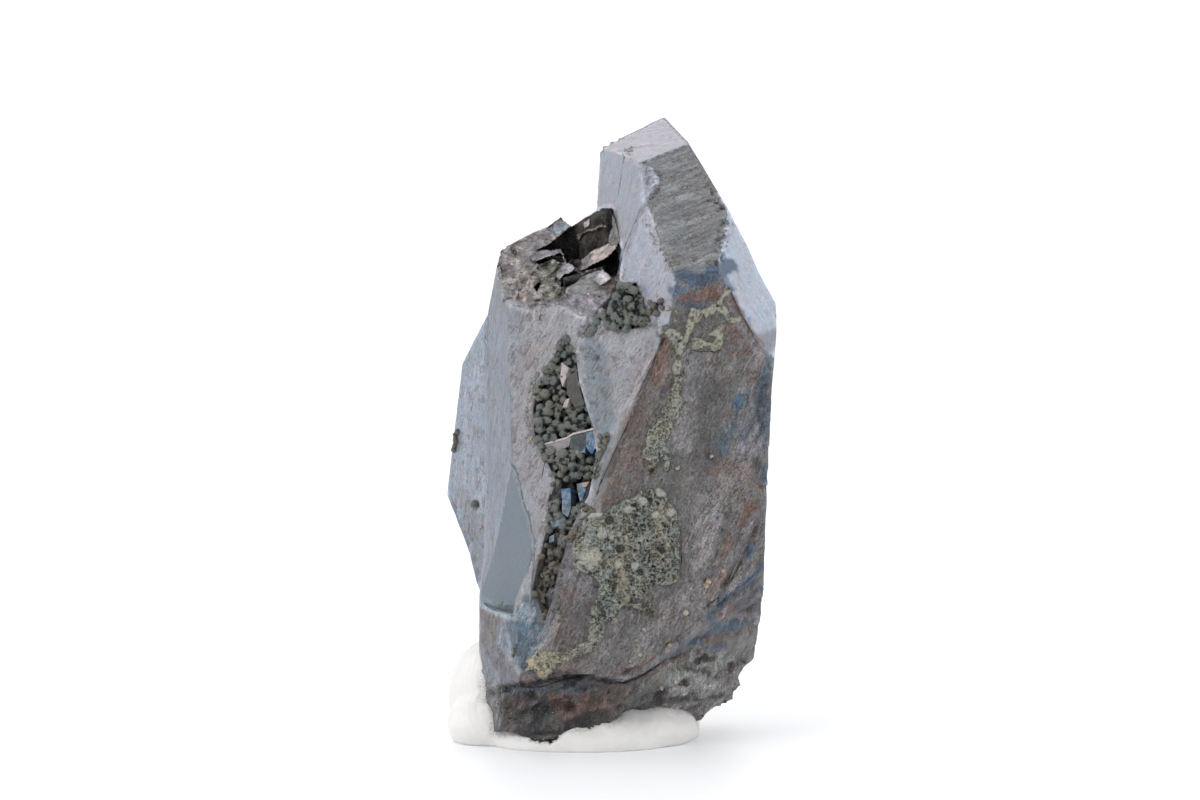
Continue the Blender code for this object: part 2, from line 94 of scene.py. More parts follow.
COLOURS = {
    "blue": (0.035, 0.075, 0.135),
    "teal": (0.055, 0.09, 0.115),
    "red": (0.15, 0.078, 0.055),
    "brown": (0.11, 0.082, 0.07),
    "dark": (0.035, 0.034, 0.034),
    # This black is painted shade wherever it is used: in gaps, hollows and along the ledge.
    "black": (0.008, 0.008, 0.008),
    "grey": (0.14, 0.14, 0.14),
    "pale": (0.36, 0.35, 0.36),
    "lilac": (0.22, 0.205, 0.23),
    "sky": (0.17, 0.20, 0.24),
    "green": (0.12, 0.13, 0.09),
    "pink": (0.34, 0.29, 0.27),
    "umber": (0.140, 0.126, 0.120),
    "crest": (0.225, 0.213, 0.222),
    "slate": (0.135, 0.165, 0.19),
    "petrol": (0.045, 0.092, 0.13),
    "steel": (0.05, 0.066, 0.088),
    # This colour is painted shade on the broken top's wall, and dark stains on the foot.
    "shade_and_soot": (0.030, 0.027, 0.023),
    "violet": (0.118, 0.112, 0.135),
    "rust": (0.105, 0.062, 0.050),
    "stone": (0.16, 0.155, 0.15),
}

# Tarnish and stains over the front: the colour, its share, half its width, how ragged it is, and its path.
STAINS = (
    ("blue", 0.90, 10, 5, [(684, 277), (700, 281), (716, 274), (727, 268)]),
    ("blue", 0.75, 8, 5, [(674, 290), (688, 302), (700, 300)]),
    ("red", 0.85, 7, 4, [(684, 299), (703, 296)]),
    ("red", 0.85, 8, 4, [(711, 294), (725, 298)]),
    ("blue", 0.65, 5, 4, [(724, 278), (733, 298), (746, 326)]),
    ("red", 0.50, 8, 5, [(731, 330), (754, 350), (734, 355)]),
    ("red", 0.65, 8, 5, [(667, 338), (661, 360), (657, 384)]),
    ("blue", 1.00, 2.6, 1, [(661, 391), (662, 393)]),
    ("brown", 0.70, 14, 8, [(642, 400), (627, 440), (612, 466)]),
    ("red", 0.40, 10, 6, [(636, 455), (622, 470), (606, 500)]),
    ("dark", 0.45, 18, 9, [(705, 390), (698, 430), (705, 460)]),
    ("blue", 0.95, 4, 3, [(739, 396), (736, 408), (735, 416)]),
    ("dark", 0.35, 12, 8, [(722, 392), (712, 430), (716, 456)]),
    ("petrol", 0.70, 6, 6, [(735, 427), (728, 436), (723, 447)]),
    ("petrol", 0.75, 6, 4, [(768, 362), (764, 380), (762, 402)]),
    ("blue", 0.55, 4, 3, [(766, 404), (767, 430), (765, 450)]),
    ("red", 0.35, 6, 4, [(757, 366), (754, 382)]),
    ("petrol", 0.60, 5, 4, [(748, 392), (744, 404)]),
    ("steel", 0.72, 12, 6, [(762, 380), (757, 420), (748, 440)]),
    ("pale", 0.50, 3, 3, [(760, 420), (752, 436), (751, 452)]),
    ("lilac", 0.85, 6, 4, [(741, 448), (741, 462), (742, 478)]),
    ("red", 0.40, 7, 5, [(712, 474), (730, 466), (745, 474)]),
    ("petrol", 0.95, 2.6, 1.5, [(763, 466), (765, 474), (764, 482)]),
    ("dark", 0.85, 4, 2.5, [(757, 458), (758, 466), (757, 474)]),
    ("red", 0.85, 3, 1.5, [(758, 484), (762, 489)]),
    ("red", 0.90, 7, 4, [(754, 506), (746, 512), (740, 524)]),
    ("red", 0.60, 5, 4, [(731, 534), (726, 548), (718, 562)]),
    ("red", 0.85, 3.5, 2, [(756, 530), (753, 541), (750, 547)]),
    ("blue", 0.90, 4.5, 2, [(751, 547), (748, 557)]),
    ("lilac", 0.45, 4, 3, [(750, 522), (738, 545), (727, 566), (715, 588)]),
    ("red", 0.55, 4, 3, [(725, 572), (717, 584), (708, 598)]),
    ("blue", 1.00, 3.4, 1.5, [(762, 565), (754, 575), (745, 583), (736, 591)]),
    ("blue", 0.85, 5.5, 2.5, [(733, 594), (724, 599), (720, 607)]),
    ("petrol", 0.90, 8, 3, [(713, 627), (722, 629), (733, 627), (742, 625)]),
    ("petrol", 0.80, 5, 3, [(715, 611), (710, 622)]),
    ("blue", 0.80, 5, 3, [(708, 634), (700, 638), (692, 643)]),
    ("red", 0.95, 2.4, 1.2, [(716, 615), (721, 613.5), (726, 612)]),
    ("red", 0.65, 3, 2, [(730, 608), (736, 604)]),
    ("blue", 0.85, 4, 2, [(706, 651), (715, 646), (724, 644)]),
    ("brown", 0.75, 4, 3, [(706, 645), (722, 639), (738, 633), (750, 629)]),
    ("steel", 0.50, 9, 5, [(740, 602), (752, 606), (758, 590)]),
    ("stone", 0.75, 10, 4, [(750, 642), (742, 650), (754, 626)]),
    ("blue", 0.80, 2.2, 1, [(694, 641), (681, 649), (672, 655), (661, 662)]),
    ("red", 0.60, 4, 3, [(656, 655), (640, 666), (612, 674)]),
    ("brown", 0.60, 14, 8, [(590, 640), (572, 668), (548, 680)]),
    ("petrol", 0.90, 13, 7, [(519, 620), (522, 642), (528, 664)]),
    ("petrol", 0.75, 8, 5, [(531, 600), (535, 620), (534, 640)]),
    ("brown", 0.80, 12, 6, [(487, 608), (497, 622), (492, 640)]),
    ("violet", 0.90, 9, 4, [(497, 652), (506, 670), (511, 682)]),
    ("brown", 0.70, 4, 3, [(524, 676), (545, 681), (566, 678)]),
    ("slate", 0.85, 15, 6, [(596, 352), (597, 385), (603, 425)]),
    ("lilac", 0.60, 8, 6, [(650, 345), (632, 380), (622, 405)]),
    ("slate", 0.45, 6, 4, [(612, 440), (604, 465), (596, 500)]),
    ("lilac", 0.55, 12, 9, [(522, 320), (524, 400), (530, 470), (541, 500)]),
    ("brown", 0.50, 12, 9, [(548, 560), (566, 600), (560, 640), (585, 610)]),
    ("pale", 0.28, 16, 12, [(706, 510), (704, 560), (690, 600)]),
    ("pale", 0.26, 12, 8, [(692, 362), (688, 400), (682, 440)]),
    ("sky", 0.55, 9, 6, [(519, 310), (512, 360)]),
    ("blue", 0.60, 4, 3, [(452, 505), (462, 535), (474, 560), (481, 580)]),
    ("red", 0.75, 3.5, 2.5, [(727, 290), (738, 312), (750, 330), (762, 345)]),
    ("lilac", 0.80, 4, 2, [(724, 290), (733, 312), (746, 334), (760, 356)]),
    ("umber", 0.40, 12, 7, [(464, 496), (472, 524), (479, 556)]),
    ("lilac", 0.35, 8, 5, [(462, 470), (458, 500)]),
    ("grey", 0.35, 14, 8, [(676, 262), (694, 246), (712, 236)]),
)

# Stains on the broken foot, painted over its own brown.
FOOT_STAINS = (
    ("dark", 0.66, 24, 8, [(512, 702), (535, 716), (550, 706)]),
    ("steel", 0.85, 5, 3, [(504, 690), (525, 689), (546, 690)]),
    ("steel", 0.85, 4, 3, [(554, 692), (580, 691)]),
    ("rust", 0.92, 11, 5, [(553, 702), (575, 706), (604, 699)]),
    ("brown", 0.70, 8, 4, [(600, 688), (625, 690), (612, 702)]),
    ("rust", 0.85, 3.5, 2, [(640, 681), (652, 676), (664, 667), (675, 659), (686, 653)]),
    ("shade_and_soot", 0.62, 9, 4, [(522, 732), (548, 739), (572, 727), (600, 714)]),
    ("grey", 0.90, 7, 3, [(632, 703), (645, 693), (655, 687)]),
    ("green", 0.55, 5, 4, [(656, 685), (668, 677), (679, 670), (686, 661)]),
    ("shade_and_soot", 0.90, 4, 2, [(698, 662), (705, 659), (713, 660)]),
    ("shade_and_soot", 0.80, 3.5, 2, [(689, 669), (697, 672)]),
    ("shade_and_soot", 0.85, 3.5, 2, [(684, 679), (687, 684)]),
    ("shade_and_soot", 0.80, 3, 2, [(705, 672), (709, 674)]),
    ("brown", 0.70, 4, 2, [(742, 662), (736, 667), (732, 672)]),
    ("shade_and_soot", 0.85, 4, 2, [(657, 696), (664, 692)]),
    ("dark", 0.80, 3.5, 2, [(650, 701), (680, 700), (700, 700), (725, 697)]),
    ("pale", 0.50, 5, 3, [(700, 678), (705, 690), (717, 684)]),
    ("dark", 0.30, 10, 6, [(590, 706), (604, 694), (618, 700)]),
    ("grey", 0.85, 8, 4, [(491, 678), (493, 700), (496, 722)]),
    # A painted highlight along the lit edge of the block.
    ("pale", 0.60, 1.8, 1, [(502, 686), (500, 704), (496, 724)]),
)

# Ridges and grooves that are lower than the CAD's forms: the height in mm, half the width, and the path.
RIDGES = (
    (0.16, 5, [(752, 520), (740, 545), (728, 566), (716, 588)]),
    (-0.22, 4, [(757, 528), (746, 552), (733, 574), (720, 596)]),
    (0.14, 5, [(762, 548), (750, 568), (736, 582), (722, 592)]),
    (-0.25, 4, [(756, 580), (750, 586), (735, 596), (721, 605)]),
    (0.16, 5, [(754, 594), (745, 600), (728, 612), (708, 622)]),
    (-0.18, 5, [(756, 606), (738, 616), (722, 634), (700, 640)]),
    (0.15, 6, [(745, 510), (733, 535), (722, 560)]),
    (-0.15, 4, [(727, 512), (722, 535), (715, 560), (706, 580)]),
    (-0.20, 3, [(702, 618), (690, 630), (676, 640), (664, 648)]),
    (0.12, 4, [(700, 628), (684, 642), (668, 652)]),
    (-0.20, 4, [(664, 340), (656, 362), (647, 384), (640, 400), (630, 424), (620, 446), (606, 476)]),
    (0.10, 3, [(652, 362), (642, 382), (634, 400), (622, 428), (613, 452), (600, 480)]),
    (0.14, 4, [(755, 375), (752, 400), (757, 430), (750, 460)]),
    (-0.16, 4, [(764, 385), (758, 410), (764, 440)]),
    (-0.14, 4, [(540, 560), (534, 600), (536, 625)]),
    (0.10, 3, [(528, 655), (548, 668), (570, 664), (590, 655), (606, 668)]),
    (-0.14, 3, [(520, 668), (545, 674), (575, 672), (600, 674)]),
)

# The broken top as seen: each area's outline, three points (u, v, depth in mm) of its plane, its colour, how
# uneven it is and the size of its lumps. A later area covers an earlier one. The black areas and the
# near-black
# wall are painted shade: the gaps, the hollow, the voids under the plates and the wall inside the hollow. On
# the block's front, the pale facet is a painted highlight and the brown part beside it is painted shade.
BREAKS = (
    ([(498, 262), (501, 252), (507, 246), (520, 238.5), (533, 232), (547, 226.5), (561, 216.5), (565, 221),
      (572, 226), (585, 217), (606, 207), (613, 208), (620, 240), (624, 251), (617, 292), (617, 300),
      (606, 309), (598, 318), (580, 315), (566, 306), (552, 303), (543, 311), (541, 323), (536, 322),
      (537, 308), (526, 309), (517, 305), (506, 300), (499, 290)],
     ((500, 259, 1.2), (554, 259, -0.4), (554, 286, -2.1)), "umber", 0.26, 0.9),
    ([(498, 262), (501, 252), (507, 246), (520, 238.5), (533, 232), (547, 226.5), (561, 216.5), (565, 221),
      (572, 227), (565, 232), (555, 240), (536, 251), (529, 257), (520, 269), (503, 276)],
     ((500, 259, 1.2), (554, 241, 0.8), (563, 219, 1.3)), "crest", 0.15, 0.6),
    ([(546, 228), (560, 216), (564, 219), (566, 223), (562, 224), (551, 228)],
     ((546, 228, 1.2), (564, 219, 1.3), (562, 224, 1.2)), "dark", 0.02, 1.0),
    ([(548, 229), (561, 219), (566, 223), (571, 227), (563, 232), (556, 236)],
     ((548, 229, 1.2), (566, 223, 1.0), (556, 236, 0.8)), "sky", 0.05, 1.0),
    ([(536, 251), (555, 240), (565, 232), (572, 227), (577, 236), (580, 245), (580, 259), (574, 268),
      (567, 264), (564, 254), (560, 249), (549, 250)],
     ((536, 251, 1.2), (572, 227, 1.2), (574, 266, 1.6)), "black", 0.10, 0.8),
    ([(572, 227), (585, 217), (606, 207), (613, 208.5), (612, 227), (608, 242), (596, 249), (587, 256),
      (581, 260), (579, 258), (579, 245), (576, 236)],
     ((573, 228, 1.6), (612, 209, -1.7), (592, 254, -0.4)), "shade_and_soot", 0.10, 0.6),
    ([(577, 236), (590, 229), (601, 225), (608, 224), (606, 227), (594, 230), (583, 235), (580, 241)],
     ((577, 236, 0.9), (608, 224, -1.9), (583, 240, 0.3)), "brown", 0.02, 1.0),
    ([(583, 224), (588, 219), (590, 220), (588, 227), (584, 229)],
     ((583, 224, 0.7), (590, 219, 0.1), (585, 229, 0.4)), "pink", 0.02, 1.0),
    ([(606, 207), (613, 208.5), (612, 240), (608, 242), (606, 226), (606, 214)],
     ((606, 207, -1.6), (613, 209, -1.9), (610, 240, -2.5)), "black", 0.02, 1.0),
    ([(612, 227), (613, 213), (618.5, 228), (620.5, 239), (618, 247), (614, 246), (608, 242)],
     ((612, 214, -2.3), (620, 238, -3.5), (608, 242, -2.7)), "grey", 0.05, 1.0),
    ([(576, 267), (581, 260), (596, 249), (608, 242.5), (615, 245), (617.5, 248), (608, 257), (597, 263),
      (584, 270), (578, 271)],
     ((577, 268, -0.9), (597, 249, -1.2), (616, 247, -3.6)), "pink", 0.03, 1.2),
    ([(576, 267), (582, 260), (590, 254), (593, 262), (584, 270), (578, 271)],
     ((577, 268, -0.9), (590, 254, -1.1), (592, 263, -2.0)), "lilac", 0.03, 1.2),
    ([(579, 271), (584, 270), (597, 263), (608, 257), (617.5, 248), (624, 251), (621, 263), (617, 276),
      (611, 278), (603, 269), (596, 271), (587, 273)],
     ((579, 271, -0.5), (622, 252, -2.0), (611, 278, -2.6)), "black", 0.05, 1.0),
    ([(566, 289), (573, 291), (589, 293), (600, 297), (616, 292), (617, 300), (606, 309), (598, 318),
      (580, 315), (566, 306)],
     ((566, 290, -3.65), (616, 295, -5.75), (590, 318, -4.95)), "lilac", 0.05, 1.2),
    ([(565, 289), (572, 284), (581, 278), (596, 270.5), (603, 268.5), (614, 279), (617, 292), (601, 297),
      (589, 293.5), (573, 291.5)],
     ((566, 289, -3.6), (600, 270, -3.2), (601, 297, -5.2)), "grey", 0.04, 1.0),
    ([(594, 279), (603, 268.5), (612, 279), (600, 285.5)],
     ((594, 279, -3.75), (603, 268.5, -3.5), (600, 285.5, -4.6)), "pale", 0.02, 1.0),
    ([(612, 279), (614, 279), (617, 292), (607, 296), (603, 288), (600, 285.5)],
     ((600, 285, -4.5), (613, 279, -4.1), (610, 295, -5.2)), "brown", 0.03, 1.0),
    ([(529, 257), (533, 252.5), (547, 250), (559, 251), (555, 255), (543, 259), (537, 261), (533, 261)],
     ((529, 257, 0.1), (559, 251, 0.0), (537, 261, -0.5)), "lilac", 0.04, 1.0),
    ([(537, 261), (543, 259), (555, 255), (559, 252), (563, 255), (564, 263), (560, 262), (555, 259),
      (547, 261), (540, 264)],
     ((537, 261, 0.9), (559, 252, 1.4), (560, 262, 0.9)), "black", 0.04, 1.0),
    ([(539, 266), (547, 262), (556, 261), (563, 265), (556, 272), (556, 280), (562, 288), (560, 296),
      (552, 303), (545, 300), (541, 290), (539, 278)],
     ((541, 266, -0.4), (560, 264, -0.9), (550, 300, -3.1)), "green", 0.34, 1.6),
    ([(557, 272), (562, 266), (568, 263), (573, 265), (575, 269), (571, 272), (565, 275), (560, 280),
      (556.5, 277)],
     ((557, 272, -1.9), (573, 264, -1.7), (560, 280, -2.5)), "lilac", 0.06, 1.0),
    ([(562, 279), (566, 274.5), (573, 271.5), (580, 273), (582, 276), (578, 281), (572, 285), (565, 288),
      (561, 286)],
     ((562, 279, -0.4), (580, 273, -0.6), (565, 288, -1.2)), "black", 0.04, 1.0),
    ([(535, 288), (539, 282), (541, 283), (537, 291)],
     ((535, 288, -0.2), (540, 282, -0.2), (537, 291, -0.4)), "black", 0.02, 1.0),
    ([(519, 290), (524, 286), (528, 292), (524, 304), (518, 300)],
     ((519, 290, -0.9), (526, 288, -1.1), (522, 304, -2.0)), "pink", 0.20, 2.0),
)

# Areas and lines in pixels. The rough left-hand part of the broken top:
BROKEN_AREA = [(500, 246), (519, 237), (545, 228), (560, 216), (576, 226), (560, 252), (585, 262), (603, 268),
               (617, 282), (604, 297), (584, 302), (566, 300), (553, 304), (541, 322), (536, 306), (520, 306),
               (503, 296)]
# The brown strip between the groove's face and the streak of crust.
BESIDE_STREAK = [(662, 336), (658, 349), (651, 363), (645.5, 378), (637, 394), (631, 410), (625.5, 427),
                 (620, 441), (613, 456), (604, 472), (599, 485), (594.5, 500), (592, 510), (602, 511),
                 (618, 501), (634, 492), (644, 478), (651, 455), (660, 428), (668, 404), (674, 385),
                 (677, 365), (672, 345)]
# The dark strip between the strings of globules and the large crust.
BESIDE_CRUST = [(594, 516), (578, 524), (564, 543), (554, 565), (546, 588), (539, 612), (538, 640),
                (556, 650), (580, 640), (596, 600), (600, 585), (585, 578), (574, 567), (572, 552),
                (578, 532)]
# The foot, below the ledge that it broke off from, and the shadowed gap along the ledge.
FOOT_AREA = [(440, 684), (502, 684), (529, 681), (553, 677), (589, 675), (624, 681), (644, 674), (655, 667),
             (664, 661), (675, 656), (690, 651.5), (700, 651), (712, 653), (724, 651), (735, 656), (748, 660),
             (820, 660), (820, 800), (440, 800)]
LEDGE_GAP = [(503, 687), (529, 684), (553, 680), (589, 678), (609, 684), (625, 684), (644, 677), (656, 668)]
# The step across the tall crystal's left face, and the notched edge to its right.
STEP_AREA = [(621, 140), (621, 149), (625, 160), (618, 203), (614, 260), (700, 260), (700, 140)]
NOTCHED_AREA = [(638, 160), (646, 164), (653, 169), (661, 181), (657, 188), (651, 195), (645, 206),
                (636, 206)]
# Pitted edges: where the slope meets the pale face, and along the notched edge.
PITTED_SLOPE = [(712, 196), (722, 207), (728, 214), (727, 226), (722, 240), (721, 257), (712, 262)]
PITTED_NOTCHES = [(641, 163), (652, 170), (661, 181), (650, 196), (646, 204), (645, 219), (655, 240),
                  (668, 263), (674, 280)]
# The tall crystal's right corner, and the line that the front's colour reaches up to beside it.
RIGHT_CORNER = [(800, 330), (757, 345)]
CORNER_U, CORNER_V = (727, 740, 757, 776), (283, 312, 345, 362)
# The shelf under the cleaved face, painted a little lighter as light on it, its pale lip, which is a painted
# highlight, and its crease.
SHELF = [(482, 598), (490, 604), (507, 611), (521, 614), (530, 612)]
SHELF_LIP = [(483.5, 602), (490, 607.5), (498, 611.5), (507, 614.5), (515, 617), (521, 617)]
SHELF_CREASE = [(483, 598), (498, 609), (521, 616), (532, 612)]

# Round pits and small dents: the pixel, the radius in pixels and the depth in mm.
PITS = (
    (475, 505, 4.5, 0.5), (597, 357, 3.5, 0.15), (598, 492, 6, 0.06), (655, 468, 4, 0.12), (669, 645, 3, 0.2),
    (650, 455, 4, 0.2), (706, 582, 3, 0.15), (532, 489, 5, 0.05), (652, 471, 5, 0.15), (674, 456, 3.5, 0.12),
)


def direction(face):
    """The way that a face looks."""
    turn = math.radians(face.facing)
    lean = math.radians(face.lean)
    return np.array((math.sin(turn) * math.cos(lean), -math.cos(turn) * math.cos(lean), math.sin(lean)))


def axes(face):
    """A face's axes: right along it and up it."""
    turn = math.radians(face.facing)
    right = np.array((math.cos(turn), math.sin(turn), 0.0))
    return right, np.cross(direction(face), right)


def to_metres(points):
    return (np.asarray(points) - CENTRE) * MM


def to_mm(points):
    return np.asarray(points) / MM + CENTRE


def to_pixels(points):
    """Where points show in the view."""
    away = points - EYE
    depth = away @ LOOK
    return MIDDLE_U + away[:, 0] / depth * FOCAL_PX, MIDDLE_V - (away @ UP) / depth * FOCAL_PX


def sight(u, v):
    """The direction from the eye through a pixel."""
    way = LOOK + UP * (MIDDLE_V - v) / FOCAL_PX
    way = way + ACROSS * (u - MIDDLE_U) / FOCAL_PX
    return way / np.linalg.norm(way)


def sights(u, v):
    """The directions from the eye through many pixels."""
    return LOOK + UP * ((MIDDLE_V - v) / FOCAL_PX)[:, None] + ACROSS * ((u - MIDDLE_U) / FOCAL_PX)[:, None]


def at_depth(ways, depth):
    """Where directions from the eye reach a depth, which is a place along Y."""
    return EYE + ways * ((depth - EYE[1]) / ways[:, 1])[:, None]


def on_face(u, v, face, above=0.0):
    """The point of a face's plane that shows at a pixel, moved out of the plane."""
    out = direction(face)
    way = sight(u, v)
    reach = (np.array(face.at) - EYE) @ out / (way @ out)
    return EYE + way * reach + out * above


def smooth(low, high, x):
    """From 0 at low to 1 at high, with soft ends."""
    t = np.clip((x - low) / (high - low), 0.0, 1.0)
    return t * t * (3 - 2 * t)


def lattice(cell, seed):
    """A repeatable number from 0 to 1 for each whole-numbered cell."""
    h = cell[..., 0] * 374761393 + cell[..., 1] * 668265263 + cell[..., 2] * 1440662683 + seed * 974711
    h = (h & 0xFFFFFFFF) ^ ((h & 0xFFFFFFFF) >> 13)
    h = (h * 1274126177) & 0xFFFFFFFF
    return ((h ^ (h >> 16)) & 0xFFFF) / 65535.0


def wobble(points, seed=0):
    """Smooth noise from -1 to 1, a unit apart from one swing to the next."""
    base = np.floor(points).astype(np.int64)
    part = points - base
    part = part * part * (3 - 2 * part)
    total = np.zeros(len(points))
    for corner in range(8):
        step = np.array((corner & 1, corner >> 1 & 1, corner >> 2))
        weight = np.prod(np.where(step, part, 1 - part), axis=1)
        total += weight * lattice(base + step, seed)
    return total * 2 - 1


def rough(points, octaves=4, seed=0, gain=0.5):
    """Noise of several sizes, each half as large as the one before."""
    total = np.zeros(len(points))
    size = 1.0
    for octave in range(octaves):
        total += size * wobble(points * 2.0 ** octave + octave * 7.31, seed + octave)
        size *= gain
    return total


def pebbles(points, seed=0):
    """The distance to the nearest of points scattered one to a unit cell."""
    base = np.floor(points).astype(np.int64)
    near = np.full(len(points), 9.0)
    for x in (-1, 0, 1):
        for y in (-1, 0, 1):
            for z in (-1, 0, 1):
                cell = base + np.array((x, y, z))
                spot = cell + np.stack([lattice(cell, seed + k) for k in (11, 23, 37)], axis=1)
                near = np.minimum(near, np.linalg.norm(points - spot, axis=1))
    return near


def off_path(u, v, path, closed=False):
    """The distance in pixels from a path."""
    path = [np.array(p, float) for p in path]
    ends = path[1:] + (path[:1] if closed else [])
    spots = np.stack((u, v), axis=1)
    best = np.full(len(spots), 1e9)
    for a, b in zip(path, ends):
        way = b - a
        t = np.clip(((spots - a) @ way) / max(way @ way, 1e-9), 0, 1)
        best = np.minimum(best, np.linalg.norm(spots - a - t[:, None] * way, axis=1))
    return best


def near_path(u, v, path, margin):
    """Whether pixels lie in the box round a path."""
    us, vs = zip(*path)
    return (u > min(us) - margin) & (u < max(us) + margin) & (v > min(vs) - margin) & (v < max(vs) + margin)


def outside(u, v, outline):
    """The distance in pixels from an outline, below zero inside it."""
    crossings = np.zeros(len(u), int)
    for (ax, ay), (bx, by) in zip(outline, outline[1:] + outline[:1]):
        if ay != by:
            spans = (ay > v) != (by > v)
            crossings += spans & (u < ax + (v - ay) * (bx - ax) / (by - ay))
    far = off_path(u, v, outline, closed=True)
    return np.where(crossings % 2 == 1, -far, far)


# Materials.

def new_material(name):
    made = bpy.data.materials.new(name)
    made.use_nodes = True
    return made, made.node_tree, made.node_tree.nodes["Principled BSDF"]


def plug(tree, made, **inputs):
    """Fills a node's inputs, named or numbered after an underscore, with a socket to link or a value."""
    for name, value in inputs.items():
        key = int(name[1:]) if name[0] == "_" else name.replace("_", " ")
        if isinstance(value, bpy.types.NodeSocket):
            tree.links.new(value, made.inputs[key])
        else:
            made.inputs[key].default_value = value


def node(tree, kind, props=None, **inputs):
    made = tree.nodes.new(kind)
    for name, value in (props or {}).items():
        setattr(made, name, value)
    plug(tree, made, **inputs)
    return made


def attribute(tree, name, output="Fac"):
    return node(tree, "ShaderNodeAttribute", {"attribute_name": name}).outputs[output]


def maths(tree, operation, a, b=0.0, c=0.0):
    return node(tree, "ShaderNodeMath", {"operation": operation}, _0=a, _1=b, _2=c).outputs[0]


def product(tree, a, b):
    return maths(tree, "MULTIPLY", a, b)


def spread(tree, value, low, high, to_low=0.0, to_high=1.0):
    """A value's range from low to high, spread over another one."""
    return node(tree, "ShaderNodeMapRange", _0=value, _1=low, _2=high, _3=to_low, _4=to_high).outputs[0]


def mixed(tree, share, a, b, blend="MIX"):
    made = node(tree, "ShaderNodeMix", {"data_type": "RGBA", "blend_type": blend}, _0=share, _6=a, _7=b)
    return made.outputs[2]


def scaled(tree, colour, amount, share=1.0):
    """A colour made lighter or darker by an amount round 1."""
    shade = node(tree, "ShaderNodeCombineColor", Red=amount, Green=amount, Blue=amount).outputs[0]
    return mixed(tree, share, colour, mixed(tree, 1.0, colour, shade, "MULTIPLY"))


def noise(tree, where, scale, detail=4.0, roughness=0.55, distortion=0.0):
    made = node(tree, "ShaderNodeTexNoise", Vector=where, Scale=scale, Detail=detail, Roughness=roughness,
                Distortion=distortion)
    return made.outputs["Fac"]


def warped(tree, where, scale, amount):
    """A place moved about by noise, so that what it carries isn't regular."""
    shift = node(tree, "ShaderNodeTexNoise", Vector=where, Scale=scale, Detail=3.0).outputs["Color"]
    shift = node(tree, "ShaderNodeVectorMath", {"operation": "SCALE"}, _0=shift, Scale=amount).outputs[0]
    return node(tree, "ShaderNodeVectorMath", {"operation": "ADD"}, _0=where, _1=shift).outputs[0]


def stretched(tree, where, scale):
    return node(tree, "ShaderNodeMapping", Vector=where, Scale=scale).outputs[0]


def bump(tree, height, strength, distance, **before):
    """A bump of a height in metres, over the normal before it."""
    made = node(tree, "ShaderNodeBump", Height=height, Strength=strength, Distance=distance, **before)
    return made.outputs[0]


def stone_patterns(tree):
    """The stone's noises: some follow the place, and some the faces' own lines."""
    place = attribute(tree, "place", "Vector")
    grain = attribute(tree, "grain", "Vector")
    round_grain = noise(tree, place, 6.0, 6.0, 0.80, 0.1)
    long_grain = noise(tree, stretched(tree, grain, (0.35, 1.1, 1.0)), 6.0, 6.0, 0.80, 0.1)
    return SimpleNamespace(
        place=place,
        mottle=noise(tree, place, 1.1, 7.0, 0.68, 0.3),
        fine=product(tree, maths(tree, "ADD", round_grain, long_grain), 0.5),
        dust=noise(tree, place, 13.0, 3.0, 0.7),
        lines=noise(tree, stretched(tree, grain, (0.30, 3.0, 1.0)), 1.0, 5.0, 0.62),
        flow=noise(tree, stretched(tree, grain, (0.28, 0.95, 1.0)), 1.0, 8.0, 0.78, 0.2),
        streak=attribute(tree, "streak"),
        wear=attribute(tree, "wear"),
    )


def stone_holes(tree, made):
    """Small pits and hairline cracks, where the stone is worn."""
    pit = node(tree, "ShaderNodeTexVoronoi", Vector=warped(tree, made.place, 2.0, 0.3), Scale=2.1)
    pit = spread(tree, pit.outputs["Distance"], 0.08, 0.24, 1.0, 0.0)
    pit = product(tree, pit, spread(tree, made.mottle, 0.50, 0.60))
    crack = maths(tree, "ABSOLUTE", maths(tree, "SUBTRACT", made.flow, 0.5))
    crack = spread(tree, crack, 0.0, 0.012, 1.0, 0.0)
    crack = product(tree, crack, spread(tree, made.mottle, 0.52, 0.44))
    return product(tree, maths(tree, "MAXIMUM", pit, crack), made.wear)


def stone_colour(tree, made, hole):
    """The face's own tint, made uneven by the noises."""
    tint = attribute(tree, "tint", "Color")
    warm = mixed(tree, 1.0, tint, (1.07, 0.99, 0.95, 1.0), "MULTIPLY")
    cool = mixed(tree, 1.0, tint, (0.95, 1.0, 1.04, 1.0), "MULTIPLY")
    colour = mixed(tree, spread(tree, made.mottle, 0.40, 0.60), warm, cool)
    grainy = maths(tree, "MULTIPLY_ADD", made.wear, 0.80, 0.14)
    colour = scaled(tree, colour, spread(tree, made.flow, 0.36, 0.64, 0.60, 1.42), made.wear)
    colour = scaled(tree, colour, spread(tree, made.fine, 0.40, 0.60, 0.14, 2.05), grainy)
    colour = scaled(tree, colour, spread(tree, made.lines, 0.35, 0.65, 0.66, 1.30), made.streak)
    dusty = maths(tree, "MULTIPLY_ADD", made.wear, 0.60, 0.05)
    for low, high, speck in ((0.60, 0.69, (0.40, 0.39, 0.37, 1.0)), (0.40, 0.31, (0.035, 0.033, 0.031, 1.0))):
        colour = mixed(tree, product(tree, spread(tree, made.dust, low, high), dusty), colour, speck)
    # The pits and cracks are painted nearly black, as painted shade in them.
    return mixed(tree, product(tree, hole, 0.7), colour, (0.03, 0.028, 0.026, 1.0))


